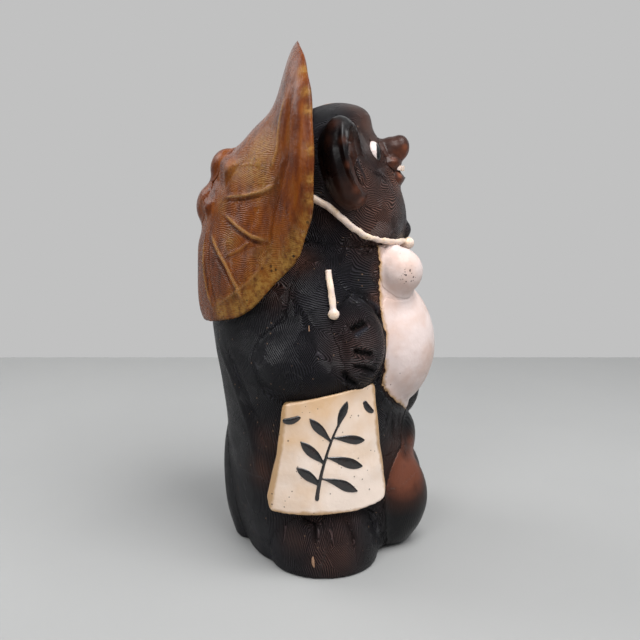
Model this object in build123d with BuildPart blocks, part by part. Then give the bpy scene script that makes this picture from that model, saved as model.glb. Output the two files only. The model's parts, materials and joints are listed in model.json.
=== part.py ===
from build123d import *
from math import cos, pi, sin
import os

# A hand-built stoneware tanuki statue, in millimetres. It faces -Y, its right side is -X and +Z is
# up. The origin is on the floor, under the middle of the figure. Every piece was formed by itself
# and luted on with slip before the one firing, so a piece is cut by the pieces it was pressed onto.

# The thrown body: a hollow clay wall, open underneath
body_width = 156.0
body_depth = 152.0
body_height = 262.0
clay_wall = 9.0

# The head, a second hollow form on the neck of the body
head_width = 116.0
head_depth = 120.0
head_height = 112.4

# The leaf hat on the back, with its two-lobed stalk
hat_width = 212.0
hat_height = 225.0
hat_depth = 98.0
hat_low_edge = 196.0
hat_front = 2.4
hat_dish_depth = 44.0
hat_hollow_width = 92.0
hat_hollow_depth = 46.0
hat_hollow_height = 96.0
hollow_tilt = 24.0
stalk_top_size = 30.0
stalk_low_size = 36.0

# The front of the figure
belly_width = 108.0
belly_depth = 103.0
belly_height = 120.0
breast_size = 40.0
bag_lobe_width = 60.0
bag_lobe_depth = 76.0
bag_lobe_height = 94.0
bag_neck_width = 48.0

# The limbs and the tail
thigh_width = 88.0
thigh_depth = 94.0
thigh_height = 110.0
tail_width = 60.0
tail_depth = 56.0
tail_height = 156.0
arm_width = 44.0
arm_depth = 50.0
arm_height = 108.0
forearm_width = 60.0
forearm_depth = 90.0
forearm_height = 78.0
forearm_turn = -10.0
right_hand_width = 48.0
right_hand_depth = 56.0
right_hand_height = 76.0
left_hand_width = 52.0
left_hand_depth = 62.0
left_hand_height = 72.0

# The account note on the right side and the flask on the left
note_thickness = 11.0
note_width = 92.0
note_height = 100.0
note_depth = 152.0
flask_size = 52.0
flask_height = 82.0
flask_neck_size = 17.0

# The face
ear_width = 44.0
ear_depth = 36.0
ear_height = 70.0
ear_tilt = -10.0
snout_width = 26.0
snout_length = 34.0
snout_height = 25.0
nostril_size = 4.0
lip_width = 34.0
lip_height = 13.0
tooth_count = 6
tooth_width = 3.8
tooth_height = 7.0
eye_width = 20.0
eye_height = 22.0
chin_tuft_size = 17.0

# The clay cord that holds the hat, and a broken end of a second one
cord_size = 5.5
cord_bend = 14.0
knot_size = 15.0
stub_end_size = 8.8

# What runs past a face so that a cut is clean
overrun = 30.0

# Rings from the floor up: height, middle to the back, half depth and half width, as shares of the
# body's height, half depth, half depth and half width
body_ring_shares = (
    (0.000, 0.000, 0.816, 0.949),
    (0.153, 0.030, 0.920, 1.000),
    (0.344, 0.045, 0.974, 1.000),
    (0.515, 0.068, 0.998, 0.974),
    (0.649, 0.134, 1.010, 0.949),
    (0.763, 0.176, 1.000, 0.923),
    (0.897, 0.145, 0.882, 0.859),
    (1.000, -0.046, 0.710, 0.692),
)

# The same for the head, from the neck joint to the crown
head_ring_shares = (
    (0.000, -0.185, 0.975, 0.897),
    (0.205, -0.235, 1.010, 0.983),
    (0.383, -0.210, 0.950, 1.000),
    (0.560, -0.118, 0.842, 0.948),
    (0.738, -0.060, 0.733, 0.810),
    (0.881, -0.185, 0.558, 0.620),
    (0.965, -0.297, 0.322, 0.362),
    (1.000, -0.315, 0.083, 0.103),
)

# Upright outlines of the leaf, from its front to its back: depth, top, height of the widest place,
# half width there, half width low down and bottom, as shares of the hat's depth, height and half
# width
hat_ring_shares = (
    (-0.060, 1.050, 0.480, 1.020, 0.890, -0.130),
    (0.000, 1.030, 0.480, 1.000, 0.870, -0.130),
    (0.139, 1.000, 0.480, 0.934, 0.825, -0.130),
    (0.241, 0.891, 0.470, 0.830, 0.790, -0.130),
    (0.302, 0.804, 0.450, 0.762, 0.760, -0.130),
    (0.435, 0.733, 0.420, 0.690, 0.715, -0.120),
    (0.583, 0.662, 0.390, 0.590, 0.635, -0.110),
    (0.740, 0.560, 0.350, 0.450, 0.510, -0.080),
    (0.873, 0.430, 0.300, 0.300, 0.350, -0.040),
    (0.955, 0.340, 0.240, 0.190, 0.200, 0.000),
    (1.000, 0.250, 0.180, 0.070, 0.070, 0.110),
)

# The dish on the leaf's front, in the same shares, but of the dish's own depth
dish_ring_shares = (
    (-0.300, 1.040, 0.480, 1.000, 0.870, -0.130),
    (0.000, 1.000, 0.480, 0.930, 0.820, -0.130),
    (0.130, 0.960, 0.480, 0.865, 0.785, -0.130),
    (0.280, 0.905, 0.470, 0.785, 0.740, -0.130),
    (0.440, 0.825, 0.450, 0.695, 0.690, -0.130),
    (0.640, 0.735, 0.430, 0.585, 0.610, -0.130),
    (0.830, 0.635, 0.400, 0.435, 0.485, -0.120),
    (0.950, 0.530, 0.370, 0.260, 0.310, -0.060),
    (1.000, 0.440, 0.340, 0.100, 0.120, 0.080),
)

# The rim seen from the side, from the tip down to the low edge at the back, as shares of the
# hat's depth behind its front and of its height over its low edge
rim_shares = (
    (0.139, 1.030),
    (0.088, 0.942),
    (0.046, 0.876),
    (0.018, 0.800),
    (0.005, 0.700),
    (0.000, 0.590),
    (0.000, 0.470),
    (0.012, 0.390),
    (0.060, 0.325),
    (0.105, 0.268),
    (0.190, 0.225),
    (0.295, 0.175),
    (0.440, 0.100),
    (0.580, 0.052),
    (0.780, 0.020),
    (0.945, 0.000),
    (1.100, -0.020),
)

# Corners of the note seen from the side, as shares of its half width and half height
note_outline_shares = (
    (0.66, 0.80),
    (-0.90, 1.08),
    (-0.93, 0.70),
    (-1.01, 0.10),
    (-1.12, -0.62),
    (-1.10, -0.86),
    (-0.60, -0.93),
    (0.30, -0.93),
    (0.90, -0.92),
    (0.94, -0.68),
    (0.77, 0.00),
)

# How far the note's outer face stands off the body: height as a share of the body's height, and
# reach as a share of the note's thickness
note_reach_shares = ((0.15, 1.35), (0.40, 0.92), (0.65, 0.45))

# The flask's side, from its foot up: distance from its axis as a share of its half size, and
# height as a share of its height
flask_side_shares = (
    (0.66, 0.00),
    (0.94, 0.14),
    (1.00, 0.34),
    (0.86, 0.56),
    (0.52, 0.76),
)

# The hat cord from the rim to the knot: shares of the head's half width, half depth and height
cord_route_shares = (
    (-0.985, 0.230, 0.370),
    (-1.030, -0.150, 0.270),
    (-0.990, -0.400, 0.152),
    (-0.880, -0.620, 0.065),
    (-0.660, -0.910, 0.022),
    (-0.350, -1.130, 0.004),
    (-0.030, -1.215, 0.000),
)

TURNS = [step * pi / 6 for step in range(12)]


def on_body(x_share, y_share, z_share):
    """A place on the body, by shares of its half width, half depth and height."""
    return Vector(x_share * body_width / 2, y_share * body_depth / 2, z_share * body_height)


def on_head(x_share, y_share, z_share):
    """A place on the head, by shares of its half width, half depth and height."""
    height = body_height + z_share * head_height
    return Vector(x_share * head_width / 2, y_share * head_depth / 2, height)


def on_hat(x_share, y_share, z_share):
    """A place on the hat, by shares of its half width, depth and height."""
    depth = hat_front + y_share * hat_depth
    return Vector(x_share * hat_width / 2, depth, hat_low_edge + z_share * hat_height)


def on_lump(place, half_sizes, shares):
    """A place in or on a lump, by shares of its three half sizes."""
    return place + Vector(*[half * share for half, share in zip(half_sizes, shares)])


def other_side(place):
    """The same place on the other side of the figure."""
    return Vector(-place.X, place.Y, place.Z)


def rising_form(rings):
    """Lofts level rings, given by height, middle, half width and half depth, into a form."""
    with BuildPart() as form:
        for height, middle, half_width, half_depth in rings:
            with BuildSketch(Plane.XY.offset(height)):
                with BuildLine():
                    Spline(
                        [
                            (half_width * cos(turn), middle + half_depth * sin(turn))
                            for turn in TURNS
                        ],
                        periodic=True,
                    )
                make_face()
        loft()
    return form


def body_rings(wall=0.0):
    """The rings of the body, drawn in by the wall."""
    return [
        (
            z * body_height,
            middle * body_depth / 2,
            wide * body_width / 2 - wall,
            deep * body_depth / 2 - wall,
        )
        for z, middle, deep, wide in body_ring_shares
    ]


def head_rings(wall=0.0):
    """The rings of the head, drawn in by the wall, but not at the joint with the body."""
    return [
        (
            body_height + z * (head_height - wall),
            middle * head_depth / 2,
            wide * (head_width / 2 - wall),
            deep * (head_depth / 2 - wall),
        )
        for z, middle, deep, wide in head_ring_shares
    ]


def leaf_form(shares, depth):
    """Lofts upright outlines from front to back into a leaf form."""
    half_width = hat_width / 2
    shoulder_share, shoulder_drop_share, corner_share = 0.72, 0.27, 0.80
    with BuildPart() as form:
        for y_share, top, widest, wide, low_wide, bottom in shares:
            top_z = hat_low_edge + top * hat_height
            widest_z = hat_low_edge + widest * hat_height
            bottom_z = hat_low_edge + bottom * hat_height
            low_z = bottom_z + (widest_z - bottom_z) / 3
            side = wide * half_width
            low_side = low_wide * half_width
            right = [
                (side * shoulder_share, top_z - shoulder_drop_share * (top_z - widest_z)),
                (side, widest_z),
                (low_side, low_z),
                (low_side * corner_share, bottom_z + (low_z - bottom_z) / 4),
            ]
            left = [(-x, z) for x, z in reversed(right)]
            with BuildSketch(Plane.XZ.offset(-(hat_front + y_share * depth))):
                with BuildLine():
                    Spline([(0, top_z), *right, (0, bottom_z), *left], periodic=True)
                make_face()
        loft()
    return form


def lump(place, half_sizes, turn=(0, 0, 0), mode=Mode.ADD):
    """Adds a ball of clay, pressed to three half sizes, to the piece being built."""
    with Locations(Location(place, turn)):
        add(scale(clay_ball.part, by=tuple(half_sizes), mode=Mode.PRIVATE), mode=mode)


def cut_by(*under):
    """Takes away from the piece being built what lies in the pieces under it."""
    for piece in under:
        add(piece.part, mode=Mode.SUBTRACT)


def stand_on_floor():
    """Cuts the piece being built level with the floor."""
    split(bisect_by=Plane.XY, keep=Keep.TOP)


def cord_form(points, size):
    """Sweeps a round cord along a route of straight runs and arcs."""
    with BuildPart() as form:
        with BuildLine() as route:
            FilletPolyline(*points, radius=cord_bend)
        with BuildSketch(Plane(route.line @ 0, z_dir=route.line % 0)):
            Circle(size / 2)
        sweep(path=route.line)
    return form


# Forms that are used whole, as cutters and as the outsides of the hollow pieces
with BuildPart() as clay_ball:
    Sphere(1)

body_form = rising_form(body_rings())
body_hollow = rising_form(body_rings(clay_wall))
head_form = rising_form(head_rings())
head_hollow = rising_form(head_rings(clay_wall))
hat_form = leaf_form(hat_ring_shares, hat_depth)
hat_dish = leaf_form(dish_ring_shares, hat_dish_depth)

# The body's wall, open underneath and at the neck, where the head's hollow joins it
with BuildPart() as body_shell:
    add(body_form.part)
    cut_by(body_hollow)

with BuildPart() as head_shell:
    add(head_form.part)
    cut_by(head_hollow)

# The white-glazed front
belly_sizes = Vector(belly_width, belly_depth, belly_height) / 2
belly_place = on_body(0, -0.658, 0.664)
with BuildPart() as belly:
    lump(belly_place, belly_sizes)
    cut_by(body_form)

breast_place = on_body(-0.36, -0.876, 0.912)
breast_sizes = Vector(breast_size, breast_size, breast_size) / 2
with BuildPart() as right_breast:
    lump(breast_place, breast_sizes)
    cut_by(body_form, belly, head_form)

with BuildPart() as left_breast:
    lump(other_side(breast_place), breast_sizes)
    cut_by(body_form, belly, head_form)

# The tail lies up the back
tail_sizes = Vector(tail_width, tail_depth, tail_height) / 2
with BuildPart() as tail:
    lump(on_body(0, 0.724, 0.229), tail_sizes)
    cut_by(body_form)
    stand_on_floor()

# The money bag hangs in two lobes from a narrow neck
bag_place = on_body(-0.231, -0.763, 0.160)
bag_sizes = Vector(bag_lobe_width, bag_lobe_depth, bag_lobe_height) / 2
with BuildPart() as money_bag:
    lump(bag_place, bag_sizes)
    lump(other_side(bag_place), bag_sizes)
    lump(
        on_body(0, -0.83, 0.345),
        Vector(bag_neck_width, bag_neck_width, bag_lobe_height * 0.68) / 2,
    )
    cut_by(body_form, belly)
    stand_on_floor()

# The folded legs make a low swelling on each side
thigh_place = on_body(-0.60, -0.074, 0.069)
thigh_sizes = Vector(thigh_width, thigh_depth, thigh_height) / 2
with BuildPart() as right_thigh:
    lump(thigh_place, thigh_sizes)
    cut_by(body_form, tail, money_bag)
    stand_on_floor()

with BuildPart() as left_thigh:
    lump(other_side(thigh_place), thigh_sizes)
    cut_by(body_form, tail, money_bag)
    stand_on_floor()

# Both arms hang from the shoulders, and the forearms are folded forward on the sides of the body
arm_place = on_body(-0.77, 0.026, 0.756)
arm_sizes = Vector(arm_width, arm_depth, arm_height) / 2
forearm_place = on_body(-0.77, 0.075, 0.664)
forearm_sizes = Vector(forearm_width, forearm_depth, forearm_height) / 2
with BuildPart() as right_arm:
    lump(arm_place, arm_sizes)
    lump(forearm_place, forearm_sizes, (forearm_turn, 0, 0))
    cut_by(body_form, belly, right_breast, head_form)

with BuildPart() as left_arm:
    lump(other_side(arm_place), arm_sizes)
    lump(other_side(forearm_place), forearm_sizes, (forearm_turn, 0, 0))
    cut_by(body_form, belly, left_breast, head_form)

# The flask rests on the left thigh, its neck in the left hand
flask_place = on_body(0.90, -0.62, 0.130)
with BuildPart() as sake_flask:
    with BuildSketch(Plane(flask_place, x_dir=(1, 0, 0), z_dir=(0, -1, 0))):
        side = [(x * flask_size / 2, z * flask_height) for x, z in flask_side_shares]
        neck = (flask_neck_size / 2, flask_height)
        lip = (flask_neck_size * 0.62, flask_height + flask_neck_size)
        with BuildLine():
            Line((0, 0), side[0])
            Spline([*side, neck, lip])
            Line(lip, (0, lip[1]))
            Line((0, lip[1]), (0, 0))
        make_face()
    revolve(axis=Axis(flask_place, (0, 0, 1)))
    cut_by(body_form, left_thigh, money_bag)

# The right hand lies on the side of the belly, the left reaches forward over the flask
right_hand_place = on_body(-0.80, -0.33, 0.702)
right_hand_sizes = Vector(right_hand_width, right_hand_depth, right_hand_height) / 2
with BuildPart() as right_hand:
    lump(right_hand_place, right_hand_sizes)
    cut_by(body_form, belly, right_breast, right_arm)

left_hand_place = on_body(0.72, -0.868, 0.466)
left_hand_sizes = Vector(left_hand_width, left_hand_depth, left_hand_height) / 2
with BuildPart() as left_hand:
    lump(left_hand_place, left_hand_sizes)
    lump(
        on_body(0.80, -0.36, 0.560),
        Vector(left_hand_width, left_hand_depth * 1.4, left_hand_height) / 2,
        turn=(15, 0, 0),
    )
    cut_by(body_form, belly, left_arm, money_bag, left_thigh, sake_flask)

# The account note is a thick slab, bent round the right side under the arm
note_place = on_body(0, -0.055, 0.390)
note_outside = rising_form(
    [
        (
            z * body_height,
            note_thickness / 2,
            body_width / 2 + reach * note_thickness,
            note_depth / 2 + reach * note_thickness,
        )
        for z, reach in note_reach_shares
    ]
)
with BuildPart() as account_note:
    with BuildSketch(Plane(note_place, x_dir=(0, 1, 0), z_dir=(1, 0, 0))):
        with BuildLine():
            Polyline(
                [(y * note_width / 2, z * note_height / 2) for y, z in note_outline_shares],
                close=True,
            )
        make_face()
        fillet(vertices(), note_thickness / 2)
    extrude(amount=-body_width)
    add(note_outside.part, mode=Mode.INTERSECT)
    cut_by(body_form, tail, right_thigh, money_bag, right_arm, right_hand)

# The leaf hat, dished in front, hollow behind the nape and cut along its rim
hat_hollow_sizes = Vector(hat_hollow_width, hat_hollow_depth, hat_hollow_height) / 2
with BuildPart() as hat_leaf:
    add(hat_form.part)
    cut_by(hat_dish)
    lump(on_hat(0, 0.555, 0.335), hat_hollow_sizes, (hollow_tilt, 0, 0), Mode.SUBTRACT)
    with BuildSketch(Plane.YZ) as before_rim:
        rim = [
            (hat_front + y * hat_depth, hat_low_edge + z * hat_height)
            for y, z in rim_shares
        ]
        far_front = hat_front - hat_depth
        with BuildLine():
            Spline(rim)
            Polyline(
                rim[-1],
                (rim[-1][0], rim[-1][1] - hat_depth),
                (far_front, rim[-1][1] - hat_depth),
                (far_front, rim[0][1] + overrun),
                (rim[0][0], rim[0][1] + overrun),
                rim[0],
            )
        make_face()
    extrude(amount=hat_width, both=True, mode=Mode.SUBTRACT)
    cut_by(body_form, head_form)

with BuildPart() as hat_stalk:
    lump(on_hat(0, 0.725, 0.556), Vector(stalk_top_size, stalk_top_size, stalk_top_size * 1.13) / 2)
    lump(on_hat(0, 0.848, 0.418), Vector(stalk_low_size, stalk_low_size * 0.87, stalk_low_size * 1.1) / 2)
    cut_by(hat_form)

# The ears, pressed hollow from the front
ear_place = on_head(-0.93, -0.367, 0.560)
ear_sizes = Vector(ear_width, ear_depth, ear_height) / 2
scoop_place = on_lump(ear_place, ear_sizes, (-0.55, -1.02, 0.06))
scoop_sizes = Vector(ear_width * 1.1, ear_depth * 0.95, ear_height * 0.88) / 2
with BuildPart() as right_ear:
    lump(ear_place, ear_sizes, (ear_tilt, 0, 0))
    lump(scoop_place, scoop_sizes, (ear_tilt, 0, 0), Mode.SUBTRACT)
    cut_by(head_form)

with BuildPart() as left_ear:
    lump(other_side(ear_place), ear_sizes, (ear_tilt, 0, 0))
    lump(other_side(scoop_place), scoop_sizes, (ear_tilt, 0, 0), Mode.SUBTRACT)
    cut_by(head_form)

# The snout, turned up at its end, with two nostrils
snout_place = on_head(0, -0.92, 0.630)
snout_sizes = Vector(snout_width, snout_length, snout_height) / 2
tip_place = on_lump(snout_place, snout_sizes, (0, -0.76, 0.46))
with BuildPart() as snout:
    lump(snout_place, snout_sizes)
    lump(tip_place, Vector(snout_width * 0.85, snout_length / 2, snout_height * 0.85) / 2)
    cut_by(head_form)
    with Locations(
        Location(on_lump(tip_place, snout_sizes, (-0.36, -0.36, -0.3)), (90, 0, 0)),
        Location(on_lump(tip_place, snout_sizes, (0.36, -0.36, -0.3)), (90, 0, 0)),
    ):
        Cylinder(nostril_size / 2, snout_length / 4, mode=Mode.SUBTRACT)

lip_sizes = Vector(lip_width, lip_width * 0.62, lip_height) / 2
with BuildPart() as upper_lip:
    lump(on_head(0, -1.00, 0.570), lip_sizes)
    cut_by(head_form, snout)

lower_lip_place = on_head(0, -1.05, 0.458)
with BuildPart() as lower_lip:
    lump(lower_lip_place, Vector(lip_width * 0.9, lip_width * 0.62, lip_height * 0.95) / 2)
    cut_by(head_form)

# The upper teeth, in a row along the curve of the lip
with BuildPart() as teeth:
    row_radius = lip_width * 0.28
    row_middle = on_lump(lower_lip_place, lip_sizes, (0, 0.15, 1.05))
    row_step = 2 * 180 * tooth_width / (2 * pi * row_radius)
    with Locations(Location(row_middle)):
        with PolarLocations(
            row_radius,
            tooth_count,
            start_angle=-90 - row_step * (tooth_count - 1) / 2,
            angular_range=row_step * (tooth_count - 1),
            endpoint=True,
        ):
            Box(tooth_width, tooth_width, tooth_height)
    cut_by(head_form, snout, upper_lip, lower_lip)

eye_place = on_head(-0.36, -0.735, 0.622)
eye_sizes = Vector(eye_width, eye_width * 0.8, eye_height) / 2
with BuildPart() as right_eye:
    lump(eye_place, eye_sizes)
    cut_by(head_form, snout, upper_lip)

with BuildPart() as left_eye:
    lump(other_side(eye_place), eye_sizes)
    cut_by(head_form, snout, upper_lip)

with BuildPart() as chin_tuft:
    lump(on_head(0, -1.18, 0.080), Vector(chin_tuft_size, chin_tuft_size, chin_tuft_size) / 2)
    cut_by(head_form, body_form, right_breast, left_breast, belly)

# The cord of the hat runs from both edges of the leaf to a knot under the chin
with BuildPart() as cord_knot:
    lump(on_head(0, -1.265, -0.018), Vector(knot_size, knot_size * 0.85, knot_size * 0.75) / 2)
    cut_by(head_form, body_form, right_breast, left_breast, belly, chin_tuft)

right_route = [on_head(*shares) for shares in cord_route_shares]
left_route = [other_side(point) for point in right_route]
with BuildPart() as hat_cord_right:
    add(cord_form(right_route, cord_size).part)
    cut_by(head_form, body_form, right_breast, chin_tuft, cord_knot, hat_leaf)

with BuildPart() as hat_cord_left:
    add(cord_form(left_route, cord_size).part)
    cut_by(head_form, body_form, left_breast, chin_tuft, cord_knot, hat_leaf)

# The broken end of a shoulder cord lies on the right arm
stub_route = [
    on_lump(arm_place, arm_sizes, shares)
    for shares in ((-0.40, -0.42, 0.86), (-0.66, -0.50, 0.60), (-0.84, -0.60, 0.26))
]
with BuildPart() as shoulder_cord_stub:
    add(cord_form(stub_route, cord_size).part)
    lump(stub_route[-1], Vector(stub_end_size, stub_end_size, stub_end_size) / 2)
    cut_by(body_form, right_arm, right_hand, right_breast)

pieces = {
    "body_shell": body_shell,
    "head_shell": head_shell,
    "belly": belly,
    "right_breast": right_breast,
    "left_breast": left_breast,
    "tail": tail,
    "money_bag": money_bag,
    "right_thigh": right_thigh,
    "left_thigh": left_thigh,
    "right_arm": right_arm,
    "left_arm": left_arm,
    "right_hand": right_hand,
    "left_hand": left_hand,
    "sake_flask": sake_flask,
    "account_note": account_note,
    "hat_leaf": hat_leaf,
    "hat_stalk": hat_stalk,
    "right_ear": right_ear,
    "left_ear": left_ear,
    "snout": snout,
    "upper_lip": upper_lip,
    "lower_lip": lower_lip,
    "teeth": teeth,
    "right_eye": right_eye,
    "left_eye": left_eye,
    "chin_tuft": chin_tuft,
    "cord_knot": cord_knot,
    "hat_cord_right": hat_cord_right,
    "hat_cord_left": hat_cord_left,
    "shoulder_cord_stub": shoulder_cord_stub,
}

os.makedirs("parts", exist_ok=True)
for name, piece in pieces.items():
    piece.part.label = name
    export_step(piece.part, f"parts/{name}.step")
    print(name, len(piece.part.solids()), round(piece.part.volume))
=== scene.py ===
import json
from functools import partial
from math import cos, pi, radians, sin

import bpy
import numpy as np
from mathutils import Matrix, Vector
from mathutils.bvhtree import BVHTree

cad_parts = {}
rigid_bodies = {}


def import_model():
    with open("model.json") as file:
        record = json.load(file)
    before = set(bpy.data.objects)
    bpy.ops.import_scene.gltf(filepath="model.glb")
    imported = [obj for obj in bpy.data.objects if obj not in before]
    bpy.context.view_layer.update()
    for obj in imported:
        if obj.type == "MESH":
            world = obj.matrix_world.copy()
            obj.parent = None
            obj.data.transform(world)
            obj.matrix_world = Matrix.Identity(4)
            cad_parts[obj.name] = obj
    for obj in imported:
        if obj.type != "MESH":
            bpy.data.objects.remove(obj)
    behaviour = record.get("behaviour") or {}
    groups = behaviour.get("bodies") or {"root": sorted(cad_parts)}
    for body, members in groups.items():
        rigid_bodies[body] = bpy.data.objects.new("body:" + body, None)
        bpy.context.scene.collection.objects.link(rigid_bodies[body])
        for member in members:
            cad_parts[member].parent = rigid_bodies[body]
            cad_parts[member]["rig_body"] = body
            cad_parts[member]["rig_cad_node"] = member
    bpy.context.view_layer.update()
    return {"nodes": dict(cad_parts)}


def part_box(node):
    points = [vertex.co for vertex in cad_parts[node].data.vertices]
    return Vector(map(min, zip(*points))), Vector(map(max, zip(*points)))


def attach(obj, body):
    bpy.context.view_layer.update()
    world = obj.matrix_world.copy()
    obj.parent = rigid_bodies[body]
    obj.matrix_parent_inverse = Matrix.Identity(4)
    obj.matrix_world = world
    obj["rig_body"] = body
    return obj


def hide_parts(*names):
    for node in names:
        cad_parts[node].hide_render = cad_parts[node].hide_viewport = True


bl_info = {
    "name": "Glazed tanuki statue",
    "version": (1, 0, 0),
    "blender": (4, 5, 0),
    "location": "3D View > Sidebar > Tanuki",
    "description": "Hand-built stoneware tanuki with combed fur, poured glazes and a leaf hat",
    "category": "Object",
}

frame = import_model()
MM = 0.001

# The place that the photograph was taken from, how many of its pixels make one unit ahead, where
# its middle is and how wide it is, and how wide a pixel shows on the figure's near side
EYE = Vector((-0.6454, -0.0026, 0.3104))
LOOK_DOWN = radians(10.27)
FOCAL_PIXELS = 760.0
MIDDLE_PIXEL = 320.0
PHOTO_PIXELS = 640.0
MM_PER_PIXEL = 0.76

# The pieces of clay whose seams are filled with slip
LUTED = (
    "body_shell", "head_shell", "belly", "right_breast", "left_breast", "tail", "money_bag",
    "right_thigh", "left_thigh", "right_arm", "left_arm", "right_hand", "left_hand",
    "right_ear", "left_ear", "snout", "upper_lip", "lower_lip", "chin_tuft",
)

# The large pieces among them, whose creases are closed wider, from the body to the arms
BROAD = LUTED[:1] + LUTED[2:11]

# The lump of clay that is pressed into the seam at the snout: its middle and its half sizes
SNOUT_LUMPS = (((0, -0.0620, 0.3366), (0.0122, 0.0125, 0.0112)),)

# The nodes that are hollow, those of the leaf hat, and those that the white glaze reaches
HOLLOW = ("body_shell", "head_shell")
LEAF = ("hat_leaf", "hat_stalk")
WHITE_GLAZED = ("body_shell", "belly", "right_breast", "left_breast")

# Creases narrower than twice these widths are closed: any, those of the large pieces, the leaf's
FINE_CREASE = 0.6 * MM
BROAD_CREASE = 4.5 * MM
LEAF_CREASE = 8.0 * MM

# How the seams are filled, in turns: rounds of averaging, the share of the rise that stays, and
# the axis and two places along it, in millimetres, where the filling begins and where it is whole
FIGURE_FILLS = (
    (6, 1.0, 2, -2, -1), (30, 0.8, 2, -2, -1), (90, 0.6, 2, -2, -1), (260, 0.9, 2, 300, 250),
)
LEAF_FILLS = (
    (10, 1.0, 1, -10, -9), (60, 0.8, 1, -10, -9), (160, 1.0, 1, 50, 60), (400, 1.3, 1, 50, 60),
    (400, 1.0, 1, 50, 60),
)

# Widths of the faces on the two surfaces with filled seams, and on the trimmings
SEAM_GRAIN = 2.0 * MM
LEAF_SEAM_GRAIN = 1.6 * MM
LEAF_GRAIN = 1.35 * MM
TRIM_GRAIN = 1.0 * MM
BRUSH_GRAIN = 0.4 * MM

# How far a piece is drawn to its surface, how far it laps into its neighbours, how deep it is
# tucked under them, and how deep the slip between them is sunk
DRAWN = 14 * MM
LAP = 1.2 * MM
STALK_LAP = 1.0 * MM
TUCKED = 0.5 * MM
SUNK = 0.6 * MM

# Heights over the floor: below the first the foot rim has no lap, and below the second it has no
# filling, and the waves and marks fade out towards the floor
LAP_FOOT = 4 * MM
FILL_FOOT = 6 * MM

# Marks with a smaller half width than this, in millimetres, also change the glaze's colour; on the
# fur a pressed one is darkened, partly as painted shade, and a raised one gets a painted highlight
NARROW_MARK = 3

# How many waves the hands' unevenness is made of, and a distance far outside an outline
HAND_WAVES = 10
FAR_OUTSIDE = -9

# The nipple's pixel, and how far round it the white glaze is speckled, from none to all
NIPPLE = (409, 276)
SPECKLED = (10 * MM, 3 * MM)

# How much of their height the teeth keep below the lip
TEETH_SHOW = 0.6

# Where the studio's wall stands before the figure, and how wide wall and floor are, in metres
WALL_AHEAD = 0.69
STUDIO_SIZE = 4

# Lamps: name, place, size and power in metres and watts
LAMPS = (
    ("softbox_above", (-0.45, -0.45, 1.35), 0.9, 22.0),
    ("softbox_camera", (-1.15, 0.55, 0.95), 0.5, 5.0),
    ("softbox_behind", (0.35, 0.9, 1.1), 0.7, 7.0),
)

# The edge of the white glaze on the front, as it shows from the right side
WHITE_EDGE = (
    (377, 236), (379, 262), (379, 290), (381, 318), (386, 335), (383, 352), (385, 365),
    (382, 385), (390, 397), (400, 404), (409, 412), (440, 395), (470, 360), (470, 225),
    (420, 228), (404, 239),
)

# The edge of the note's outer face, as it shows from the right side
NOTE_EDGE = (
    (284, 380), (374, 380), (379, 440), (386, 480), (387, 499), (376, 507), (350, 513),
    (320, 514), (285, 514), (269, 510), (272, 492), (280, 450), (284, 410),
)

# Brush strokes on the note, a leaf sprig and a dab in two corners, and chips in the fur's glaze:
# pixels along each stroke, with its half width there in millimetres
SPRIG_DABS = (
    ((317, 499, 1.9), (321, 476, 1.5), (329, 448, 1.2), (339, 424, 1.0)),
    ((297, 468, 0.7), (305, 474, 3.9), (312, 479, 3.4), (320, 486, 0.8)),
    ((301, 442, 0.7), (309, 450, 4.1), (316, 456, 3.4), (324, 464, 0.8)),
    ((310, 419, 0.7), (317, 427, 3.7), (323, 433, 3.0), (331, 442, 0.8)),
    ((357, 491, 0.7), (347, 487, 4.1), (338, 483, 3.4), (323, 479, 0.8)),
    ((362, 466, 0.7), (352, 464, 4.3), (342, 461, 3.6), (328, 458, 0.8)),
    ((364, 440, 0.7), (356, 440, 3.7), (347, 439, 3.2), (334, 438, 0.8)),
    ((347, 402, 0.7), (344, 410, 3.5), (341, 417, 3.0), (338, 427, 0.8)),
)
CORNER_DABS = (
    ((285, 421, 2.2), (291, 421, 3.0), (298, 418, 2.0)),
    ((365, 403, 2.2), (368, 408, 3.0), (372, 411, 2.0)),
)
CHIP_DABS = (
    ((313, 557, 0.7), (313, 562, 1.6), (314, 567, 0.8)),
    ((309, 326, 0.5), (309, 331, 0.6)),
)

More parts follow.
